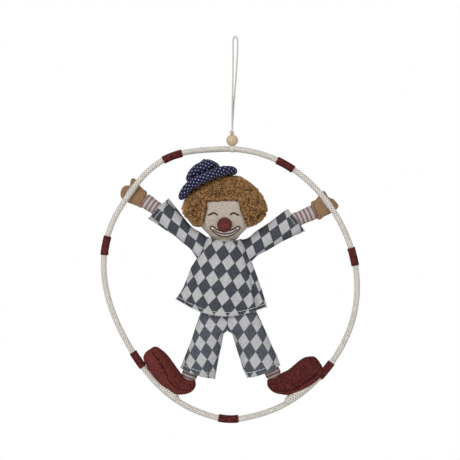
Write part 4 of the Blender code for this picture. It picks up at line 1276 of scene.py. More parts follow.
@dataclass(frozen=True)
class Sleeve(ClothTube):
    """A sleeve: a tube that widens to its cuff and lies further back there."""

    depths: Outline = ((0.0, 6.6), (0.25, 7.4), (0.6, 8.2), (1.0, 9.6))
    sharpness: Outline = ((0.0, 0.9), (0.3, 1.0), (1.0, 1.05))
    middle_depth: Outline = ((0.0, 0.0), (0.4, 0.8), (1.0, 4.6))
    dips: Outline = ((0.0, 0.0), (1.0, 0.8))
    flat_size: Pair = (0.056, 0.079)
    area: float = 0.0040
    hem: float = 0.935
    hem_ripple: float = 0.5


def line_stitches(maker: MeshMaker, path: Array) -> None:
    """Adds a line of sewn stitches along a path on the cloth, given in metres."""
    length = path_lengths(path)[-1]
    thread = Strand(STITCH_RADIUS, 6, yarns=2, groove=0.08, lay=0.7)
    start = STITCH_GAP * MM
    while start + STITCH_LENGTH * MM < length:
        run = points_at(path, np.linspace(start, start + STITCH_LENGTH * MM, 5))
        thread.add(maker, run, (0.1, 1.0, 0.2), swell=np.array([0.5, 0.95, 1.0, 0.95, 0.5]))
        start += (STITCH_LENGTH + STITCH_GAP) * MM


def fray(maker: MeshMaker, edge: Array, heading: Array, seed: int) -> None:
    """Adds the short loose ends of yarn along a raw edge.

    Args:
        maker: The mesh in the making.
        edge: Points of the edge, in metres.
        heading: The way off the cloth at each of them.
        seed: Starts the draw of chances.
    """
    draw = random.Random(seed)
    for point, way in zip(edge, unit(heading)):
        drift = np.array([draw.uniform(-0.4, 0.4), draw.uniform(-0.3, 0.3), draw.uniform(-0.4, 0.4)])
        length = draw.uniform(*FRAY_LENGTHS) * MM
        start = point - way * FRAY_ROOT * MM
        share = shares(4)[:, None]
        path = start + way * (length + FRAY_ROOT * MM) * share + drift * length * share**2
        Strand(draw.uniform(*FRAY_RADII), 5).add(maker, path, (0.3, 1.0, 0.1), swell=np.array([1.0, 1.0, 0.8, 0.4]))


def thickened(piece: Piece) -> None:
    """Gives a sheet of canvas its thickness, with the reverse on its second material."""
    wall = piece.modifiers.new("cloth thickness", "SOLIDIFY")
    wall.thickness = CANVAS_THICKNESS * MM
    wall.offset = -1.0
    wall.material_offset = 1
    wall.material_offset_rim = 1
    wall.use_even_offset = False


@dataclass
class ClownClothes:
    """The tunic, the two sleeves and the trousers, cut from diamond-print canvas."""

    finishes: Finishes
    stitch_lift: float = 0.22
    armhole_row: int = 3
    tunic: ClothTube = ClothTube(
        first_edge=(
            (-27.9, -199.3), (-30.4, -205.7), (-33.4, -211.7), (-36.4, -216.7), (-39.1, -221.2), (-41.7, -225.7),
            (-45.2, -231.7), (-47.1, -237.7), (-50.0, -244.7), (-52.4, -250.7), (-56.2, -256.4), (-59.6, -261.5),
        ),
        second_edge=(
            (5.6, -201.5), (8.2, -207.2), (11.4, -213.2), (14.2, -218.7), (16.1, -223.7), (18.0, -228.7),
            (20.2, -234.7), (22.4, -240.7), (24.6, -247.2), (26.8, -253.7), (29.2, -261.2), (31.6, -269.2),
        ),
        depths=((0.0, 14.2), (0.1, 13.3), (0.3, 12.2), (0.6, 13.8), (1.0, 16.8)),
        sharpness=((0.0, 1.0), (0.25, 0.8), (0.4, 1.0), (0.7, 1.2), (1.0, 1.2)),
        middle_depth=((0.0, -4.0), (0.12, -3.6), (0.3, 0.0), (1.0, 0.0)),
        dips=((0.0, 3.7), (0.3, 3.5), (0.6, 6.0), (1.0, 12.6)),
        flat_size=(0.186, 0.082),
        area=0.0116,
        hem=0.955,
        lay=DiamondLay((-12.7, -215.65), (13.5, -1.4), (-2.5, -17.3)),
        folds=(
            Fold(0.79, 0.15, 0.022, 5.5, 0.10), Fold(0.70, 0.15, 0.08, -1.2, 0.07), Fold(-0.76, 0.40, 0.09, 2.2, 0.03),
        ),
        hem_ripple=0.9,
        gather=0.6,
        rows=64,
        columns=184,
    )
    sleeves: tuple[Sleeve, Sleeve] = (
        Sleeve(
            first_edge=(
                (-34.4, -225.7), (-37.9, -221.7), (-44.4, -212.5), (-51.9, -206.2), (-60.4, -199.0), (-69.4, -193.2),
                (-78.4, -186.9), (-87.0, -181.6),
            ),
            second_edge=(
                (-24.4, -203.7), (-28.9, -199.2), (-36.4, -194.0), (-40.9, -191.5), (-45.9, -187.2), (-52.4, -179.2),
                (-59.4, -170.2), (-66.7, -161.2),
            ),
            lay=DiamondLay((-65.9, -173.4), (12.95, 3.8), (3.6, -18.0)),
        ),
        Sleeve(
            first_edge=(
                (1.6, -205.7), (5.6, -202.5), (10.6, -201.4), (14.6, -199.2), (19.1, -195.0), (24.6, -191.2),
                (31.6, -186.7), (39.6, -180.7), (47.6, -174.7), (51.9, -172.0),
            ),
            second_edge=(
                (11.1, -227.2), (15.6, -224.6), (22.1, -218.4), (30.0, -214.2), (39.6, -208.7), (47.6, -204.0),
                (55.6, -200.2), (62.6, -197.0), (69.4, -194.0),
            ),
            lay=DiamondLay((44.8, -179.1), (12.35, -4.35), (-4.6, -17.2)),
        ),
    )

    def build(self) -> None:
        """Makes the four garments and their stitching."""
        self.tube("tunic", self.tunic)
        for side, cut in zip(Side, self.sleeves):
            self.tube(f"sleeve_{side.value}", cut)
        Trousers(self.finishes).build()

    def tube(self, node: str, cut: ClothTube) -> None:
        """Makes one garment of a single tube of cloth.

        Args:
            node: The CAD node that it replaces.
            cut: The shape of the cloth.
        """
        name = f"{node}_canvas"
        grid = cut.grid()
        maker = MeshMaker()
        maker.add_grid(grid, flat=cut.places(grid))
        piece = maker.build(name, self.finishes.canvas, self.finishes.reverse)
        thickened(piece)
        settle(piece, Body.HOOP, "diamond_canvas", node)
        seam = MeshMaker()
        row = cut.hem * (cut.rows - 1)
        low = int(row)
        line = grid[low] + (grid[low + 1] - grid[low]) * (row - low)
        outward = unit((line - line.mean(axis=0)) * np.array([0.05, 1.0, 0.05]))
        line = line + outward * self.stitch_lift * MM
        line_stitches(seam, np.vstack([line, line[:1]]))
        fray(seam, grid[-1], grid[-1] - grid[-3], len(name))
        sewn = [settle(seam.build(f"{name}_stitches", self.finishes.thread), Body.HOOP, "diamond_canvas")]
        if isinstance(cut, Sleeve):
            # Each sleeve gets a dark thread at the armhole, partly a seam and partly painted shade.
            sewn.append(self.armhole_seam_and_shade(f"{node}_seam", grid[self.armhole_row]))

    def armhole_seam_and_shade(self, name: str, line: Array) -> Piece:
        """The dark seam across the front of a sleeve where it meets the tunic: partly a real seam and partly painted
        shade for the shadow in the armhole.

        Args:
            name: The piece's name.
            line: A row of the sleeve's points, from its back round by its front.

        Returns:
            The seam.
        """
        quarter = len(line) // 4
        front = line[quarter : 3 * quarter + 1] - np.array([0.0, SEAM_LIFT * MM, 0.0])
        thread = sewing_thread(STITCH_RADIUS)
        seam = thread.piece(name, self.finishes.dark_thread, even_steps(front, 50), (0.3, 0.9, 0.3))
        return settle(seam, Body.HOOP, "diamond_canvas")


@dataclass
class Trousers:
    """Trousers of two legs that meet in a seam at the front and back and part below the crotch."""

    finishes: Finishes
    half_columns: int = 52
    crotch_columns: int = 9
    hip_rows: int = 18
    leg_rows: int = 34
    split: float = 24.0
    outer_left: Outline = ((-31.9, -261.7), (-34.9, -274.7), (-37.4, -282.7), (-40.9, -292.7))
    outer_right: Outline = ((16.6, -261.7), (20.9, -273.7), (25.6, -283.7), (29.8, -292.7))
    crotch: Pair = (-8.0, -292.3)
    waist_seam: Pair = (-8.0, -264.7)
    leg_outer: tuple[Outline, Outline] = (
        ((-40.9, -292.7), (-44.4, -303.7), (-48.4, -313.7), (-52.4, -323.7), (-55.1, -330.2)),
        ((29.8, -292.7), (34.4, -303.7), (38.6, -312.7), (42.1, -319.7), (44.8, -327.7)),
    )
    leg_inner: tuple[Outline, Outline] = (
        (
            (-11.2, -292.6), (-12.0, -297.2), (-13.0, -303.7), (-14.6, -311.7), (-16.4, -320.2), (-18.4, -330.2),
            (-20.2, -341.0),
        ),
        ((-4.9, -292.6), (-2.9, -297.4), (-0.8, -304.7), (1.6, -312.7), (4.6, -321.7), (7.7, -331.7), (11.6, -340.2)),
    )
    depths: Outline = ((0.0, 13.2), (0.3, 12.6), (0.6, 11.4), (1.0, 12.2))
    hip_share: float = 0.45
    crotch_sag: float = 0.9
    seam_groove: Triple = (0.03, 0.05, 0.16)
    hip_roundness: float = 0.55
    leg_roundness: Pair = (0.85, 0.3)
    leg_blend: float = 0.09
    hem_dip: float = 1.6
    hem_wave: Pair = (0.7, 6.0)
    stitch_lift: float = 0.25
    seam_radius: float = 0.22
    flat_size: Pair = (0.135, 0.082)
    lays: tuple[DiamondLay, DiamondLay] = (
        DiamondLay((-30.1, -296.2), (11.8, 1.55), (1.55, -16.5)),
        DiamondLay((14.9, -294.5), (12.9, -0.9), (-1.25, -18.5)),
    )

    def hips(self) -> Array:
        """Rows from the waist to the crotch, each from the front seam by the left and the back to the front seam."""
        left = smooth_path(self.outer_left, self.hip_rows)
        right = smooth_path(self.outer_right, self.hip_rows)
        share = shares(self.hip_rows)
        seam = np.outer(1.0 - share, self.waist_seam) + np.outer(share, self.crotch)
        turn = np.linspace(0.0, math.pi, self.half_columns + 1)
        depth = read_table(self.depths, share * self.hip_share)[:, None]
        out = np.sin(turn)
        least, more, width = self.seam_groove
        groove = 1.0 - (least + more * share[:, None] ** 2) * bell(out, 0.0, width)
        deep = -depth * rounded(np.cos(turn), self.hip_roundness) * groove
        halves = []
        for edge in (left, right):
            flat = seam[:, None] + (edge - seam)[:, None] * out[:, None]
            halves.append(np.stack([flat[..., 0], deep, flat[..., 1]], axis=2))
        return np.concatenate([halves[0], halves[1][:, -2:0:-1]], axis=1) * MM

    def leg(self, side: int, top: Array) -> Array:
        """Rows of one leg, from the row under the crotch to the hem.

        Args:
            side: 0 for the left leg and 1 for the right.
            top: The ring of points at the crotch that the leg hangs from.

        Returns:
            The grid of points.
        """
        outer = smooth_path(self.leg_outer[side], self.leg_rows)
        inner = smooth_path(self.leg_inner[side], self.leg_rows)
        share = shares(self.leg_rows)[:, None]
        depth = read_table(self.depths, self.hip_share + (1.0 - self.hip_share) * share)
        split = math.radians(self.split)
        outside = np.linspace(split, FULL_TURN - split, self.half_columns + 1)
        inside = np.linspace(-split, split, self.crotch_columns + 2)[1:-1]
        turn = np.concatenate([outside, inside])
        flat = ((outer + inner) * 0.5)[:, None] + ((inner - outer) * 0.5)[:, None] * np.cos(turn)[:, None]
        dip = self.hem_dip * share * np.sin(turn) ** 2
        least, more = self.leg_roundness
        bulge = rounded(np.sin(turn), least + more * share)
        height, count = self.hem_wave
        wave = height * share**3 * np.sin(count * turn + 2.0 * side)
        grid = np.stack([flat[..., 0], -(depth * bulge + wave), flat[..., 1] - dip], axis=2) * MM
        blend = np.clip(share / self.leg_blend, 0.0, 1.0)[..., None]
        blend = blend * blend * (3.0 - 2.0 * blend)
        middles = grid.mean(axis=1, keepdims=True)
        hung = top + (middles - middles[:1]) * np.array([1.0, 0.0, 1.0])
        return hung * (1.0 - blend) + grid * blend

    def build(self) -> None:
        """Makes the trousers, their hem stitches and their front seam, whose dark thread is partly painted shade."""
        hips = self.hips()
        half = self.half_columns
        last = hips[-1]
        way = shares(self.crotch_columns + 2)[1:-1, None]
        saddle = last[half] * (1.0 - way) + last[0] * way
        saddle[:, 2] -= np.sin(math.pi * way[:, 0]) * self.crotch_sag * MM
        maker = MeshMaker()
        places: list[Array] = []

        def put(points: Array, flat: Array) -> list[int]:
            """The numbers of new points of the mesh, each with its place on the flat cloth."""
            maker.points.append(points)
            places.extend(flat)
            maker.count += len(points)
            return list(range(maker.count - len(points), maker.count))

        def sew(upper: list[int], lower: list[int], lays: list[DiamondLay]) -> None:
            """A band of faces between two rings, with their places on the cloth and in the print."""
            for c, lay in enumerate(lays):
                beside = (c + 1) % len(upper)
                corners = (upper[c], upper[beside], lower[beside], lower[c])
                spots = np.array([places[corner] for corner in corners])
                maker.faces.append(corners)
                maker.layers.setdefault(CLOTH, []).append(spots)
                maker.layers.setdefault(PRINT, []).append(lay.places(spots[:, 0], spots[:, 1]))

        rows = [put(row, self.hip_places(row)) for row in hips]
        for upper, lower in zip(rows, rows[1:]):
            sew(upper, lower, [self.lays[0]] * half + [self.lays[1]] * half)
        middle = put(saddle, saddle[:, [0, 2]] / MM)
        stitching = MeshMaker()
        for side, order in enumerate((range(half + 1), [0, *range(2 * half - 1, half - 1, -1)])):
            grid = self.leg(side, np.vstack([last[order], saddle]))
            upper = [*(rows[-1][number] for number in order), *middle]
            for row in grid[1:]:
                lower = put(row, self.leg_places(row, side))
                sew(upper, lower, [self.lays[side]] * len(upper))
                upper = lower
            line = (grid[-5] + grid[-4]) * 0.5
            outward = np.sign(line[:, 1] - line[:, 1].mean())[:, None] * np.array([0.0, self.stitch_lift * MM, 0.0])
            fray(stitching, grid[-1], grid[-1] - grid[-3], side + 3)
            line_stitches(stitching, line + outward)
        # The trousers take the copy of the canvas with painted light in its dark diamonds.
        piece = maker.build("trousers_canvas", self.finishes.trouser_canvas_painted_light, self.finishes.reverse)
        thickened(piece)
        settle(piece, Body.HOOP, "diamond_canvas", "trousers")
        # The dark thread of the front seam is partly a real seam and partly painted shade for the shadow down the
        # middle of the trousers.
        thread = sewing_thread(self.seam_radius)
        seam_line = even_steps(hips[:, 0] - np.array([0.0, SEAM_LIFT * MM, 0.0]), 60)
        front_seam_and_shade = thread.piece("trousers_front_seam", self.finishes.dark_thread, seam_line)
        stitches = stitching.build("trousers_canvas_stitches", self.finishes.thread)
        for sewn in (front_seam_and_shade, stitches):
            settle(sewn, Body.HOOP, "diamond_canvas")

    @staticmethod
    def half_places(half: Array, way: float) -> Array:
        """Places on the flat cloth of half a ring of points, measured round the ring.

        Args:
            half: The points from the front seam by the outer side to the back seam.
            way: 1 where the outer side lies on the right, -1 on the left.

        Returns:
            Millimetres across and up of each point.
        """
        points = half / MM
        flat = points[:, [0, 2]].copy()
        outer = len(points) // 2
        length = path_lengths(points[:, :2])
        for part, sign in ((slice(0, outer), way), (slice(outer, None), -way)):
            across = points[part, 0]
            middle = np.argmin(np.abs(across - (across.min() + across.max()) * 0.5))
            flat[part, 0] = across[middle] + sign * (length[part] - length[part][middle])
        return flat

    def hip_places(self, ring: Array) -> Array:
        """Places on the flat cloth of a row of the hips."""
        half = self.half_columns
        right = np.vstack([ring[half:], ring[:1]])[::-1]
        return np.vstack([self.half_places(ring[: half + 1], -1.0), self.half_places(right, 1.0)[::-1][1:-1]])

    def leg_places(self, ring: Array, side: int) -> Array:
        """Places on the flat cloth of a row of one leg, 0 for the left and 1 for the right."""
        half = self.half_columns
        way = 2.0 * side - 1.0
        outside = self.half_places(ring[: half + 1], way)
        inner = np.vstack([ring[:1], ring[half + 1 :][::-1]]) / MM
        inside = inner[1:, [0, 2]].copy()
        inside[:, 0] = outside[0, 0] - way * path_lengths(inner[:, :2])[1:]
        return np.vstack([outside, inside[::-1]])


# Limbs, torso and shoes


@dataclass
class ClownBody:
    """The stuffed torso, arms, hands, legs and felt shoes."""

    finishes: Finishes
    torso_outline: Outline = (
        (0.0, 6.1), (0.025, 12.2), (0.075, 17.5), (0.2, 20.0), (0.4, 20.0), (0.62, 22.0), (0.8, 24.0), (0.93, 21.1),
        (0.985, 13.2), (1.0, 6.0),
    )
    torso_flatness: float = 0.5
    torso_power: float = 2.2
    torso_top: Pair = (-12.0, -207.3)
    torso_bottom: Pair = (-7.1, -290.5)
    arms: tuple[Outline, Outline] = (
        ((-48.2, -195.9), (-63.4, -182.2), (-79.9, -170.5), (-91.0, -162.9)),
        ((26.6, -199.7), (48.6, -187.7), (64.9, -180.7), (79.3, -174.4)),
    )
    arm_depths: tuple[float, ...] = (0.6, 2.4, 4.9, 6.1)
    arm_half: Outline = ((0.0, 7.0), (0.6, 7.0), (0.92, 7.3), (1.0, 7.3))
    hands: tuple[Outline, Outline] = (
        (
            (-88.6, -156.0), (-92.4, -151.7), (-96.2, -147.7), (-98.9, -144.5), (-99.8, -142.3), (-102.4, -140.5),
            (-104.8, -142.0), (-105.5, -145.2), (-106.4, -148.1), (-109.4, -147.9), (-112.4, -149.2), (-114.4, -151.7),
            (-115.4, -155.7), (-114.8, -159.7), (-111.9, -163.0), (-107.6, -165.2), (-102.4, -167.2), (-98.4, -168.7),
            (-93.4, -169.7),
        ),
        (
            (82.9, -181.9), (89.6, -178.9), (95.6, -176.2), (99.1, -174.2), (101.8, -171.7), (103.6, -168.7),
            (102.1, -165.7), (98.6, -161.9), (94.6, -160.2), (92.4, -158.0), (90.8, -154.9), (88.6, -153.5),
            (85.8, -155.1), (83.1, -159.0), (80.6, -162.2), (75.8, -166.4),
        ),
    )
    hand_middles: tuple[Pair, Pair] = ((-101.9, -157.2), (88.1, -168.7))
    hand_depth: float = 6.1
    hand_half_thickness: float = 3.1
    hand_edge: Pair = (2.6, 0.55)
    legs: tuple[Outline, Outline] = (
        ((-25.4, -280.7), (-33.4, -300.7), (-40.9, -323.7), (-46.7, -339.5), (-47.8, -342.4)),
        ((8.6, -280.7), (20.6, -300.7), (32.6, -325.2), (38.9, -339.1), (39.7, -340.9)),
    )
    limb_flatness: float = 0.85
    limb_wave: Pair = (0.18, 22.0)
    limb_nap: Pair = (5.0, 0.15)
    stripe_starts: tuple[float, float] = (2.2, 0.0)
    leg_half: Outline = ((0.0, 7.8), (0.7, 7.9), (0.94, 7.7), (1.0, 5.6))
    shoes: tuple[Outline, Outline] = (
        (
            (-87.0, -313.1, 0.7), (-86.7, -313.5, 5.0), (-86.0, -314.3, 7.6), (-84.4, -316.2, 9.4),
            (-81.5, -319.8, 10.8), (-78.0, -324.2, 11.6), (-73.1, -330.6, 11.6), (-67.6, -337.3, 11.3),
            (-62.1, -343.2, 10.9), (-55.9, -347.0, 10.0), (-48.6, -347.3, 8.6), (-43.8, -345.3, 6.2),
            (-41.4, -344.0, 3.6), (-40.2, -343.3, 0.7),
        ),
        (
            (84.2, -325.0, 0.7), (83.8, -325.3, 5.0), (82.8, -326.0, 8.0), (80.2, -327.8, 10.4), (76.6, -330.4, 12.6),
            (72.0, -333.7, 13.2), (65.1, -338.6, 12.8), (57.8, -343.2, 12.1), (50.3, -345.8, 11.6), (42.5, -346.6, 9.4),
            (36.2, -345.2, 6.4), (33.2, -344.2, 3.7), (31.9, -343.8, 0.7),
        ),
    )
    sole_edges: tuple[Outline, Outline] = (
        ((0.0, 0.30), (0.2, 0.22), (0.4, 0.08), (0.6, -0.20), (0.8, -0.55), (1.0, -0.8)),
        ((0.0, -0.45), (0.3, -0.55), (0.6, -0.62), (0.8, -0.70), (1.0, -0.8)),
    )
    shoe_tones: Pair = (0.9, 0.3)
    shoe_part_tones: Triple = (0.5, -0.4, -2.4)
    seam_width: float = 0.05
    seam_depth: float = 0.9
    seam_held: float = 0.35
    seam_depth_share: float = 0.1
    shoe_depth_share: float = 0.84
    shoe_power: float = 2.3
    shoe_nap: Pair = (7.0, 0.25)

    def build(self) -> None:
        """Makes the torso, then each limb with its hand or shoe."""
        self.torso()
        for index, side in enumerate(Side):
            self.limb(f"arm_{side.value}", self.arms[index], self.arm_depths, self.arm_half, self.finishes.arm_knit)
            self.hand(side, index)
            self.limb(
                f"leg_{side.value}", self.legs[index], (0.0,) * 5, self.leg_half, self.finishes.leg_knit,
                self.stripe_starts[index],
            )
            self.shoe(side, index)

    def torso(self) -> None:
        """The stuffed torso under the clothes."""
        share, half = np.array(self.torso_outline).T
        top, bottom = np.array(self.torso_top), np.array(self.torso_bottom)
        path = lifted(top + (bottom - top) * share[:, None])
        grid = loft(path, half, half * self.torso_flatness, 40, self.torso_power)
        piece = grid_piece("torso_stuffed", self.finishes.linen, grid, caps=True, flat={CLOTH: grid_flat(grid)})
        settle(piece, Body.HOOP, "cream_linen", "torso")

    def limb(
        self, node: str, route: Outline, depths: tuple[float, ...], half: Outline, finish: Material, start: float = 0.0
    ) -> None:
        """A stuffed knit limb that ends at the wrist or the ankle.

        Args:
            node: The CAD node that it replaces.
            route: The limb's middle, across and up.
            depths: How far back the limb lies at each point of its route.
            half: A table of its half width along it.
            finish: Its material.
            start: How far into the stripes its end lies.
        """
        rows = 44
        spots = [(*spot, depth) for spot, depth in zip(route, depths)]
        path = smooth_path(tuple(spots), rows)
        path = lifted(path[:, :2], path[:, 2])
        width = read_table(half, shares(rows))
        height, reach = self.limb_wave
        width = width + height * np.sin(np.linspace(0.0, reach, rows))
        grid = loft(path, width, width * self.limb_flatness, 36)
        grid = napped(grid, self.limb_nap, len(node))
        flat = grid_flat(grid)
        flat[..., 1] = flat[-1:, :, 1] - flat[..., 1] + start
        piece = grid_piece(f"{node}_stuffed", finish, grid, caps=True, flat={CLOTH: flat})
        settle(piece, Body.HOOP, "striped_knit", node)

    def hand(self, side: Side, index: int) -> None:
        """A flat stuffed mitten behind the hoop, with a seam round its edge."""
        columns, edge = 110, 10
        outline = smooth_path(self.hands[index], columns, closed=True)
        middle = np.array(self.hand_middles[index])
        power, roundness = self.hand_edge
        face = np.sin(np.linspace(0.04, 1.0, edge + 1) * 0.5 * math.pi)
        rows = []
        for number, share in enumerate([*face, *face[-2::-1]]):
            front = np.sign(number - edge)
            swell = self.hand_half_thickness * (1.0 - share**power) ** roundness
            flat = middle + (outline - middle) * share
            rows.append(lifted(flat, self.hand_depth + front * swell))
        grid = np.stack(rows)
        name = f"hand_{side.value}"
        flat = {CLOTH: grid_flat(grid)}
        piece = grid_piece(f"{name}_stuffed", self.finishes.hand_cotton, grid, caps=True, flat=flat)
        plumped(piece, np.arange((edge - 1) * columns, (edge + 2) * columns), most=0.7, slack=0.03)
        settle(piece, Body.HOOP, "brown_cotton", name)

    def shoe(self, side: Side, index: int) -> None:
        """A felt shoe with a round raised toe and a seam along each side."""
        rows, columns = 72, 64
        stations = smooth_path(self.shoes[index], rows)
        path = lifted(stations[:, :2])
        half = stations[:, 2]
        grid = loft(path, half, half * self.shoe_depth_share, columns, self.shoe_power)
        grid = napped(grid, self.shoe_nap, 3.0 + index)
        upward = 1.0 if side is Side.LEFT else -1.0
        height = upward * np.sin(np.linspace(0.0, FULL_TURN, columns + 1))[None]
        above = height - read_table(self.sole_edges[index], shares(rows))[:, None]
        seam = bell(above, 0.0, self.seam_width)
        inward = unit(path[:, None] - grid)
        pulled = np.minimum(half * self.seam_depth_share, self.seam_depth)[:, None]
        grid = grid + inward * (seam[:, :-1] * pulled)[..., None] * MM
        sole_tone, upper_tone, seam_tone = self.shoe_part_tones
        tone = np.where(above < 0.0, sole_tone, upper_tone) + seam_tone * seam + self.shoe_tones[index]
        name = f"shoe_{side.value}"
        flat = {PRINT: np.stack([tone, tone], axis=2)}
        piece = grid_piece(f"{name}_felt", self.finishes.rust_felt, grid, caps=True, flat=flat)
        plumped(piece, np.flatnonzero(seam[:, :-1].ravel() > self.seam_held), most=0.9, slack=0.03)
        settle(piece, Body.HOOP, "rust_felt", name)


# Head


@dataclass
class ClownHead:
    """The stuffed linen head with curly hair, felt nose and stitched eyes and mouth, and the neck."""

    finishes: Finishes
    middle: Pair = (-10.8, -4.0)
    outline: Outline = (
        (-153.2, 1.0), (-154.4, 9.0), (-157.0, 14.6), (-161.0, 19.0), (-166.0, 22.2), (-172.0, 24.0), (-178.0, 24.7),
        (-184.0, 24.6), (-188.0, 23.9), (-191.0, 22.2), (-194.0, 19.2), (-197.0, 16.3), (-199.6, 14.2), (-201.6, 12.4),
        (-203.0, 9.8), (-203.6, 6.0),
    )
    depth_share: float = 0.82
    squareness: Outline = ((-196.0, 2.5), (-187.0, 3.5))
    brow: Pair = (24.0, -176.0)
    brow_reach: Pair = (27.5, 24.0)
    neck_middle: Triple = (-10.9, -4.0, 0.0)
    neck_profile: Outline = (
        (0.1, -201.4), (9.0, -201.6), (11.2, -203.0), (11.4, -205.5), (10.4, -208.5), (9.2, -212.2), (6.8, -215.5),
        (3.4, -217.6), (0.1, -218.1),
    )
    nose_middle: Triple = (-10.7, -26.2, -187.7)
    nose_radius: float = 7.35
    nose_nap: Pair = (1.8, 0.16)
    eye_radius: float = 0.72
    eye_taper: Pair = (5.0, 0.35)
    eye_proud: float = 0.25
    lip_radius: float = 0.60
    lip_proud: float = 0.2
    patch_faces: Pair = (0.12, -0.5)
    eyes: tuple[Outline, Outline] = (
        ((-27.6, -178.1), (-25.4, -177.7), (-23.4, -176.4), (-21.4, -175.9), (-19.4, -176.7), (-17.4, -178.6)),
        ((-5.6, -178.5), (-4.2, -177.0), (-2.1, -175.9), (0.0, -176.5), (2.1, -177.9), (4.0, -177.2)),
    )
    lips: Outline = (
        (-24.8, -191.1), (-21.4, -194.7), (-16.4, -197.9), (-10.4, -199.3), (-4.4, -198.1), (0.6, -195.1),
        (4.4, -191.1), (4.2, -189.8), (2.6, -189.2), (1.0, -189.6), (-1.4, -191.7), (-4.9, -192.8), (-10.4, -193.6),
        (-15.9, -193.2), (-18.9, -192.0), (-20.8, -190.1), (-23.0, -188.9), (-24.6, -189.6),
    )
    smile: Outline = (
        (-22.4, -192.1), (-18.4, -194.7), (-14.4, -196.0), (-9.4, -196.5), (-4.4, -195.7), (-0.4, -193.7),
        (1.6, -191.7),
    )
    hair_middle: Triple = (-10.7, -2.5, -166.0)
    hair_half_depth: float = 23.0
    hair_power: float = 2.5
    hair_outline: Outline = (
        (-2.4, -138.7), (4.6, -139.7), (10.6, -142.7), (14.6, -145.7), (19.6, -149.7), (24.6, -155.2), (28.6, -161.7),
        (31.5, -169.7), (31.0, -175.9), (28.5, -182.3), (25.5, -185.6), (20.6, -188.4), (14.6, -191.0), (4.6, -191.6),
        (-10.7, -191.7), (-25.4, -191.2), (-33.4, -190.2), (-41.4, -190.2), (-45.4, -187.2), (-48.4, -182.7),
        (-51.4, -177.7), (-53.1, -172.7), (-52.4, -167.7), (-49.4, -161.2), (-45.4, -154.7), (-39.4, -148.2),
        (-31.4, -142.7), (-22.4, -139.7), (-11.4, -138.0),
    )
    opening: Outline = (
        (-28.8, -164.0), (-20.4, -163.5), (2.9, -162.7), (4.6, -168.7), (6.6, -174.7), (9.6, -180.7), (12.6, -187.7),
        (14.6, -193.7), (10.6, -198.7), (-32.4, -198.7), (-34.9, -193.7), (-33.4, -188.7), (-31.9, -182.7),
        (-30.4, -176.7), (-29.4, -170.7),
    )
    opening_back: float = -5.0
    backing_inset: float = 2.0
    backing_tone: float = 0.22
    backing_thickness: float = 3.0
    curl_count: int = 4200
    edge_curl_count: int = 300
    edge_spread: Pair = (-0.2, 1.7)
    edge_depth: Pair = (0.2, 1.0)
    short_below: float = -180.0
    short_depth: float = 13.0
    short_inset: float = 1.6
    curl_inset: Pair = (0.7, 2.1)
    curl_base: float = 1.6
    curl_radius: Pair = (0.9, 1.6)
    curl_turns: Pair = (0.8, 1.5)
    curl_pitch: Pair = (1.2, 2.2)
    curl_thickness: Pair = (0.31, 0.44)
    curl_tones: Pair = (0.12, 0.88)
    # How strong the painted light and shade round each curl's coil is.
    curl_painted_shade: float = 0.34
    curl_steps: int = 13
    seed: int = 7

    def build(self) -> None:
        """Makes the neck, the head and what is on it."""
        self.neck()
        self.skull()
        self.nose()
        self.face()
        self.hair()

    def section(self, up: Array) -> Array:
        """Half the head's width at heights, in millimetres."""
        table = np.asarray(self.outline)[::-1]
        return np.interp(up, table[:, 0], table[:, 1])

    def depth(self, up: Array) -> Array:
        """Half the head's depth at heights; the brow is fuller than its width, so that it fills the hair's gap."""
        size, middle = self.brow
        reach = np.where(up < middle, *self.brow_reach)
        brow = size * (1.0 - ((up - middle) / reach) ** 6)
        return np.maximum(self.section(up), brow) * self.depth_share

    def on_face(self, flat: Array, proud: float) -> Array:
        """Points on the front of the face, in metres.

        Args:
            flat: Points across and up, in millimetres.
            proud: How far they stand off the face, in millimetres.

        Returns:
            The points in the frame.
        """
        half = self.section(flat[:, 1])
        share = np.clip(np.abs((flat[:, 0] - self.middle[0]) / half), 0.0, 0.98)
        power = read_table(self.squareness, flat[:, 1])
        depth = self.depth(flat[:, 1]) * (1.0 - share**power) ** (1.0 / power)
        return lifted(flat, self.middle[1] - depth - proud)

    def neck(self) -> None:
        """The stuffed neck in the collar, rounded where it sits in the shoulders."""
        grid = turned(smooth_path(self.neck_profile, 30), 40) + np.asarray(self.neck_middle)
        piece = grid_piece("neck_stuffed", self.finishes.linen, grid * MM, caps=True)
        settle(piece, Body.NECK, "cream_linen", "neck")

    def skull(self) -> None:
        """The stuffed linen head, narrow at the collar."""
        rows, columns = 64, 72
        curve = smooth_path(self.outline, rows)
        turn = full_turn(columns)
        power = 2.0 / read_table(self.squareness, curve[:, :1])
        x = self.middle[0] + rounded(np.cos(turn), power) * curve[:, 1:]
        y = self.middle[1] + rounded(np.sin(turn), power) * self.depth(curve[:, :1])
        grid = np.stack([x, y, np.broadcast_to(curve[:, :1], x.shape)], axis=2) * MM
        piece = grid_piece("head_stuffed", self.finishes.linen, grid, caps=True)
        settle(piece, Body.HEAD, "cream_linen", "head")

    def nose(self) -> None:
        """The felt ball of the nose."""
        rows, columns = 30, 44
        tilt = np.linspace(0.02, math.pi - 0.02, rows)[:, None]
        turn = full_turn(columns)[None]
        reach = np.sin(tilt)
        ball = np.stack([reach * np.cos(turn), -np.cos(tilt) * np.ones_like(turn), reach * np.sin(turn)], axis=2)
        grid = ball * self.nose_radius * MM
        grid = napped(grid, self.nose_nap, way=ball) + np.asarray(self.nose_middle) * MM
        piece = grid_piece("nose_felt", self.finishes.red_felt, grid, caps=True)
        settle(piece, Body.HEAD, "red_felt", "nose")

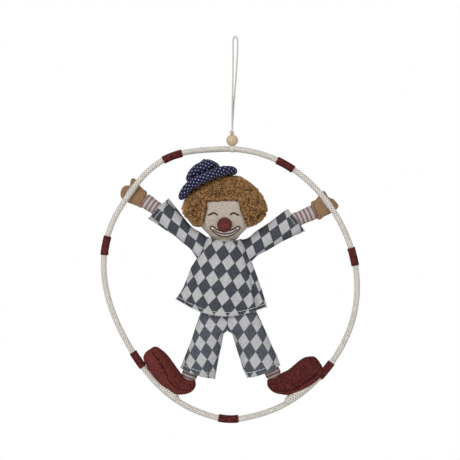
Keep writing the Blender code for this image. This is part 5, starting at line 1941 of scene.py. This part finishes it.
    def face(self) -> None:
        """The stitched eyes and mouth."""
        steps = 44
        thread = Strand(self.eye_radius, 8, yarns=2, groove=0.10, lay=1.3)
        for side, line in zip(Side, self.eyes):
            name = f"eye_{side.value}"
            path = self.on_face(smooth_path(line, steps), self.eye_proud)
            swell = tapered(steps, *self.eye_taper)
            eye = thread.piece(f"{name}_stitched", self.finishes.dark_thread, path, swell=swell)
            settle(eye, Body.HEAD, "dark_thread", name)
        maker = MeshMaker()
        line = Strand(self.lip_radius, 8, yarns=2, groove=0.10, lay=1.2)
        round_it = smooth_path(self.lips, 130, closed=True)
        line.add(maker, self.on_face(np.vstack([round_it, round_it[:1]]), self.lip_proud))
        line.add(maker, self.on_face(smooth_path(self.smile, 60), self.lip_proud))
        settle(maker.build("mouth_stitched", self.finishes.brown_thread), Body.HEAD, "brown_thread", "mouth")
        self.lip_patch(round_it)

    def lip_patch(self, edge: Array) -> None:
        """The paler linen between the lines of the mouth, laid on the face."""
        half = len(edge) // 2
        lower, upper = edge[: half - 2], edge[half + 8 :][::-1]
        one, two = even_steps(lower, 50), even_steps(upper, 50)
        share = np.linspace(0.02, 0.98, 9)[:, None, None]
        flat = one[None] * (1.0 - share) + two[None] * share
        skin, back = (np.stack([self.on_face(row, proud) for row in flat]) for proud in self.patch_faces)
        grid = np.concatenate([skin, back[::-1]])
        piece = grid_piece("mouth_patch", self.finishes.lip_linen, grid, wrap=False, ring=True)
        settle(piece, Body.HEAD, "cream_linen")

    @cached_property
    def hair_reach(self) -> tuple[Array, Array]:
        """Directions in the picture's plane and how far the hair goes in each, in millimetres."""
        edge = smooth_path(self.hair_outline, 400, closed=True) - np.asarray(self.hair_middle)[[0, 2]]
        angle = np.arctan2(edge[:, 1], edge[:, 0])
        order = np.argsort(angle)
        return angle[order], np.linalg.norm(edge[order], axis=1)

    def hair_point(self, turn: Array | float, lean: Array | float, inset: float) -> Array:
        """Points on the hair's outside, in millimetres.

        Args:
            turn: The direction in the picture's plane, in radians.
            lean: The direction from the front, -pi/2, to the back, pi/2.
            inset: How far inside the outline the points lie, in millimetres.

        Returns:
            The points in the frame.
        """
        middle = np.asarray(self.hair_middle)
        reach = np.interp(turn, *self.hair_reach, period=FULL_TURN) - inset
        power = 2.0 / self.hair_power
        out = np.abs(np.cos(lean)) ** power * reach
        deep = rounded(np.sin(lean), power) * (self.hair_half_depth - inset)
        return middle + np.stack([out * np.cos(turn), deep, out * np.sin(turn)], axis=-1)

    def in_opening(self, points: Array, grow: float = 0.0) -> Array:
        """Whether points lie in front of the face, in the gap of the hair.

        Args:
            points: Points in millimetres.
            grow: How much wider the gap is taken to be, in millimetres.

        Returns:
            True for each point in the gap.
        """
        gap = np.asarray(self.opening)
        gap = gap + unit(gap - gap.mean(axis=0)) * grow
        inside = np.zeros(points.shape[:-1], dtype=bool)
        x, z = points[..., 0], points[..., 2]
        for (ax, az), (bx, bz) in zip(gap, np.roll(gap, -1, axis=0)):
            crosses = (az > z) != (bz > z)
            slope = ax + (z - az) / (bz - az + 1e-9) * (bx - ax)
            inside ^= crosses & (x < slope)
        return inside & (points[..., 1] < self.opening_back)

    def hair(self) -> None:
        """A shell of backing cloth round the head, with small curls all over it."""
        turn, lean = np.meshgrid(full_turn(120), np.linspace(-1.55, 1.55, 60))
        maker = MeshMaker()
        maker.add_grid(self.hair_point(turn, lean, self.backing_inset) * MM, caps=True)
        points = np.concatenate(maker.points) / MM
        open_faces = self.in_opening(np.array([points[[*face]].mean(axis=0) for face in maker.faces]))
        maker.faces = [face for face, is_open in zip(maker.faces, open_faces) if not is_open]
        maker.layers[PRINT] = [np.full((sum(map(len, maker.faces)), 2), self.backing_tone)]
        backing = maker.build("hair_backing", self.finishes.curls)
        wall = backing.modifiers.new("backing thickness", "SOLIDIFY")
        wall.thickness = self.backing_thickness * MM
        wall.offset = -1.0
        settle(backing, Body.HEAD, "brown_curls", "hair")
        self.curls()

    def curls(self) -> None:
        """The curls: short coils of wool that lie on the backing in every direction."""
        draw = random.Random(self.seed)
        maker = MeshMaker()
        step = 0.02
        made = 0
        while made < self.curl_count:
            turn = draw.uniform(0.0, FULL_TURN)
            lean = math.asin(draw.uniform(-1.0, 1.0))
            inset = draw.uniform(*self.curl_inset)
            point = self.hair_point(turn, lean, inset)
            if point[2] < self.short_below and abs(point[1]) < self.short_depth:
                point = self.hair_point(turn, lean, inset + self.short_inset)
            if self.in_opening(point, 1.0):
                continue
            near = self.hair_point(np.array([turn, turn + step]), np.array([lean + step, lean]), self.curl_base)
            self.add_curl(maker, draw, point, near - point)
            made += 1
        self.edge_curls(maker, draw)
        settle(maker.build("hair_curls", self.finishes.curls), Body.HEAD, "brown_curls")

    def edge_curls(self, maker: MeshMaker, draw: random.Random) -> None:
        """Adds the curls that lean over the edge of the face."""
        edge = smooth_path((*self.opening[-4:], *self.opening[:7]), 200)
        for _ in range(self.edge_curl_count):
            spot = edge[draw.randrange(len(edge))][None]
            outward = spot - np.asarray(self.opening).mean(axis=0)
            spot = spot + outward / np.linalg.norm(outward) * draw.uniform(*self.edge_spread)
            skin = self.on_face(spot, 0.0)[0] / MM
            front = self.hair_middle[1] - self.hair_half_depth + self.curl_base
            deep = skin[1] + (front - skin[1]) * draw.uniform(*self.edge_depth)
            point = np.array([spot[0, 0], deep, spot[0, 1]])
            side = np.array([-outward[0, 1], 0.0, outward[0, 0]])
            self.add_curl(maker, draw, point, np.stack([side, np.array([0.0, -1.0, 0.0])]))

    def add_curl(self, maker: MeshMaker, draw: random.Random, point: Array, near: Array) -> None:
        """Adds one curl.

        Args:
            maker: The mesh in the making.
            draw: The source of chance.
            point: Where the curl sits, in millimetres.
            near: Two directions along the hair's outside.
        """
        one, out = unit(near[0]), unit(np.cross(near[0], near[1]))
        heading = draw.uniform(0.0, FULL_TURN)
        axis = one * math.cos(heading) + np.cross(out, one) * math.sin(heading)
        side = np.cross(out, axis)
        radius = draw.uniform(*self.curl_radius)
        turns = draw.uniform(*self.curl_turns)
        pitch = draw.uniform(*self.curl_pitch)
        start = draw.uniform(0.0, FULL_TURN)
        share = shares(self.curl_steps)
        angle = start + FULL_TURN * turns * share
        path = point + np.outer(pitch * turns * (share - 0.5), axis)
        path = path + radius * (np.outer(np.cos(angle), side) + np.outer(np.sin(angle), out))
        swell = tapered(self.curl_steps, 2.0, 0.3) * draw.uniform(*self.curl_thickness)
        ring = full_turn(4)
        grid = path[:, None] + spokes(path_sides(path, tuple(axis)), ring) * swell[:, None, None]
        # Each curl's own tone, plus painted light and shade that runs round the coil: lighter on one side, darker on
        # the other.
        tone = draw.uniform(*self.curl_tones) + self.curl_painted_shade * np.sin(angle)
        flat = np.broadcast_to(tone[:, None, None], (len(path), len(ring) + 1, 2))
        maker.add_grid(grid * MM, caps=True, flat={PRINT: flat})


@dataclass
class ClownCap:
    """The cap of dotted cotton: a padded brim that droops over the hair, and a soft crown with a gathered top."""

    finishes: Finishes
    middle: Triple = (-30.2, -4.0, -140.6)
    tilt: float = 24.5
    half_length: float = 31.8
    half_depth: float = 25.0
    half_thickness: float = 4.8
    roll: float = 5.3
    roll_drop: float = 0.8
    droops: Pair = (9.5, 6.6)
    bend_share: float = 0.45
    brim_nap: Triple = (0.3, 0.3, 0.5)
    power: float = 2.3
    crown_rings: Outline = (
        (-2.0, 0.0, 15.0, 10.0), (2.0, 0.0, 16.8, 11.0), (4.6, -0.1, 17.7, 12.4), (6.2, -0.2, 17.6, 15.2),
        (8.0, -0.2, 16.7, 17.4), (10.0, 0.1, 15.0, 17.4), (12.0, 0.7, 12.8, 15.4), (13.8, 1.6, 10.2, 12.0),
        (15.2, 2.9, 7.0, 8.0), (16.1, 4.2, 3.9, 4.3), (16.5, 5.1, 2.2, 2.3), (16.9, 5.8, 1.7, 1.7),
        (17.4, 6.3, 1.2, 1.2), (17.5, 6.4, 0.2, 0.2),
    )
    crown_cone: float = 0.68
    crown_nap: Pair = (6.0, 0.35)
    gather_run: Pair = (0.35, 0.5)
    gather_depths: Pair = (0.6, 0.3)
    knot_from: float = 0.93
    crown_gather: Outline = ((11.0, 0.7, 0.5), (7.0, 0.0, 0.3))
    dent_depth: float = 1.8
    dent_round: Pair = (5.1, 0.35)
    dent_along: Pair = (0.5, 0.16)

    def placed(self, grid: Array) -> Array:
        """Points of the cap, turned to its tilt and put in its place, in metres."""
        angle = math.radians(self.tilt)
        cosine, sine = math.cos(angle), math.sin(angle)
        x = grid[..., 0] * cosine - grid[..., 2] * sine
        z = grid[..., 0] * sine + grid[..., 2] * cosine
        return (np.stack([x, grid[..., 1], z], axis=-1) + np.asarray(self.middle)) * MM

    def build(self) -> None:
        """Makes the brim and the crown."""
        self.brim()
        self.crown()

    def brim(self) -> None:
        """The padded brim: a fat roll round the crown, closed by flat cloth inside it."""
        columns = 128
        turn = full_turn(columns) + 0.5 * math.pi
        power = 2.0 / self.power
        along = rounded(np.cos(turn), power) * (self.half_length - self.roll)
        deep = rounded(np.sin(turn), power) * (self.half_depth - self.roll)
        ring = np.stack([along, deep], axis=1)
        ring = even_steps(np.vstack([ring, ring[:1]]), columns, True)
        ahead = np.roll(ring, -1, axis=0) - np.roll(ring, 1, axis=0)
        away = unit(np.stack([ahead[:, 1], -ahead[:, 0]], axis=1))
        section = np.radians(np.linspace(-165.0, 165.0, 40))
        flat = ring[None] + away[None] * (self.roll * np.cos(section))[:, None, None]
        up = np.broadcast_to((self.half_thickness * np.sin(section))[:, None], flat.shape[:2])
        bent = (1.0 - self.bend_share) * ring[None, :, 0] + self.bend_share * flat[..., 0]
        droop = np.where(bent < 0.0, self.droops[0], self.droops[1])
        up = up - self.roll_drop - droop * np.abs(bent / self.half_length) ** 3
        grid = np.stack([flat[..., 0], flat[..., 1], up], axis=2)
        grid = grid + ripple(grid * MM, 7.0, 2.0)[..., None] * np.asarray(self.brim_nap)
        length = np.linspace(0.0, np.linalg.norm(ahead, axis=1).sum() * 0.5, columns + 1)
        places = np.stack(np.meshgrid(length, section * self.roll), axis=2)
        piece = grid_piece("hat_brim_padded", self.finishes.dots, self.placed(grid), caps=True, flat={CLOTH: places})
        plumped(piece, ends(len(section), columns, 3, 3), most=1.2)
        settle(piece, Body.HEAD, "navy_cotton", "hat_brim")

    def crown(self) -> None:
        """The soft crown, gathered under a small knot of cloth at its top."""
        rows, columns = 60, 96
        rings = smooth_path(self.crown_rings, rows)
        turn = np.linspace(0.5 * math.pi, 2.5 * math.pi, columns, endpoint=False)
        share = shares(rows)[:, None]
        start, run = self.gather_run
        upper, lower = self.gather_depths
        pinch = np.clip((share - start) / run, 0.0, 1.0) * (share < self.knot_from) * upper + lower * (1.0 - share)
        dent = self.dent_depth * bell(turn, *self.dent_round) * bell(share, *self.dent_along)
        swell = pinch * waves(turn, self.crown_gather) - dent
        x = rings[:, 1:2] + (rings[:, 2:3] + swell) * np.cos(turn)[None]
        y = (rings[:, 3:] + swell) * np.sin(turn)[None]
        grid = np.stack([x, y, np.broadcast_to(rings[:, :1], x.shape)], axis=2)
        nap_size, nap_height = self.crown_nap
        grid = grid + ripple(grid * MM, nap_size, 5.0)[..., None] * nap_height
        from_top = path_lengths(rings[::-1, [0, 2]])[::-1, None]
        round_it = np.linspace(-math.pi, math.pi, columns + 1)[None] * self.crown_cone
        places = np.stack([from_top * np.cos(round_it), from_top * np.sin(round_it)], axis=2)
        piece = grid_piece("hat_crown_padded", self.finishes.dots, self.placed(grid), caps=True, flat={CLOTH: places})
        plumped(piece, ends(rows, columns, 8, 10), most=1.4)
        settle(piece, Body.HEAD, "navy_cotton", "hat_crown")


# Studio


@dataclass
class Studio:
    """The camera at the photograph's place, soft lamps, a white surround and a pale floor far below."""

    camera_place: Triple = (-0.0054, -1.5, -0.1927)
    frame_width: float = 0.460
    sensor: float = 36.0
    floor_height: float = -0.70
    floor_radius: float = 1.0
    floor_fade: Pair = (0.45, 0.97)
    floor_tones: tuple[Triple, Triple] = ((0.80, 0.80, 0.80), (0.86, 0.86, 0.86))
    ambient: float = 0.46
    lamp_aim: Triple = (0.0, 0.0, -0.22)
    lamps: tuple[tuple[str, Triple, float, float], ...] = (
        ("key", (-0.75, -1.35, 0.55), 1.1, 16.8),
        ("fill", (0.95, -1.10, -0.10), 1.2, 4.2),
        ("back", (0.20, 1.30, 0.30), 1.2, 8.0),
    )

    def build(self) -> None:
        """Makes the camera, the lamps, the world and the floor."""
        scene = bpy.context.scene
        scene.view_settings.view_transform = "Standard"
        lens = bpy.data.cameras.new("camera")
        lens.sensor_width = self.sensor
        lens.lens = self.sensor * -self.camera_place[1] / self.frame_width
        camera = bpy.data.objects.new("camera", lens)
        camera.location = self.camera_place
        camera.rotation_euler = (math.radians(90.0), 0.0, 0.0)
        scene.collection.objects.link(camera)
        scene.camera = camera
        for lamp in self.lamps:
            self.lamp(*lamp)
        self.world()
        self.floor()

    def lamp(self, name: str, place: Triple, size: float, power: float) -> None:
        """A large soft lamp that faces the toy."""
        light = bpy.data.lights.new(name, "AREA")
        light.shape = "DISK"
        light.size = size
        light.energy = power
        lamp = bpy.data.objects.new(name, light)
        lamp.location = place
        lamp.rotation_euler = (Vector(self.lamp_aim) - Vector(place)).to_track_quat("-Z", "Y").to_euler()
        bpy.context.scene.collection.objects.link(lamp)

    def world(self) -> None:
        """A surround that lights the toy softly and shows white."""
        world = bpy.data.worlds.new("studio")
        world.use_nodes = True
        tree = world.node_tree
        tree.nodes.clear()
        path = tree.nodes.new("ShaderNodeLightPath")
        seen = path.outputs["Is Camera Ray"]
        for name in ("Is Glossy Ray", "Is Transmission Ray"):
            either = tree.nodes.new("ShaderNodeMath")
            either.operation = "MAXIMUM"
            tree.links.new(seen, either.inputs[0])
            tree.links.new(path.outputs[name], either.inputs[1])
            seen = either.outputs[0]
        mix = tree.nodes.new("ShaderNodeMixShader")
        tree.links.new(seen, mix.inputs[0])
        for slot, strength in ((1, self.ambient), (2, 1.0)):
            glow = tree.nodes.new("ShaderNodeBackground")
            glow.inputs["Color"].default_value = (1.0, 1.0, 1.0, 1.0)
            glow.inputs["Strength"].default_value = strength
            tree.links.new(glow.outputs[0], mix.inputs[slot])
        output = tree.nodes.new("ShaderNodeOutputWorld")
        tree.links.new(mix.outputs[0], output.inputs["Surface"])
        bpy.context.scene.world = world

    def floor(self) -> None:
        """A pale floor that fades into the white surround towards its edge."""
        steps = np.linspace(-self.floor_radius, self.floor_radius, 9)
        across, deep = np.meshgrid(steps, steps)
        bench = NodeBench("pale_floor")
        cloud = bench.grain(60.0, 3.0)
        bench.finish(bench.mix(cloud, *self.floor_tones))
        away = bench.add("ShaderNodeVectorMath", operation="LENGTH")
        flat = bench.add("ShaderNodeVectorMath", operation="MULTIPLY")
        bench.feed(flat.inputs[0], bench.place())
        flat.inputs[1].default_value = (1.0, 1.0, 0.0)
        bench.feed(away.inputs[0], flat.outputs[0])
        fade = bench.spread(away.outputs["Value"], *(share * self.floor_radius for share in self.floor_fade))
        seen = bench.add("ShaderNodeLightPath").outputs["Is Camera Ray"]
        glow = bench.add("ShaderNodeEmission", color=(1.0, 1.0, 1.0), strength=1.0)
        mix = bench.tree.nodes.new("ShaderNodeMixShader")
        bench.feed(mix.inputs[0], fade * seen)
        bench.feed(mix.inputs[1], bench.shader.outputs[0])
        bench.feed(mix.inputs[2], glow.outputs[0])
        output = next(node for node in bench.tree.nodes if node.type == "OUTPUT_MATERIAL")
        bench.feed(output.inputs["Surface"], mix.outputs[0])
        grid = np.stack([across, deep, np.full_like(across, self.floor_height)], axis=2)
        grid_piece("floor", bench.material, grid, wrap=False)


def main() -> None:
    """Builds the studio and the toy, in order."""
    logging.basicConfig(level=logging.INFO, format="%(message)s")
    finishes = Finishes()
    Studio().build()
    for part in (HangingCord, RopeHoop, ClownBody, ClownClothes, ClownHead, ClownCap):
        part(finishes).build()
        LOG.info("%s done", part.__name__)


if __name__ == "__main__":
    main()
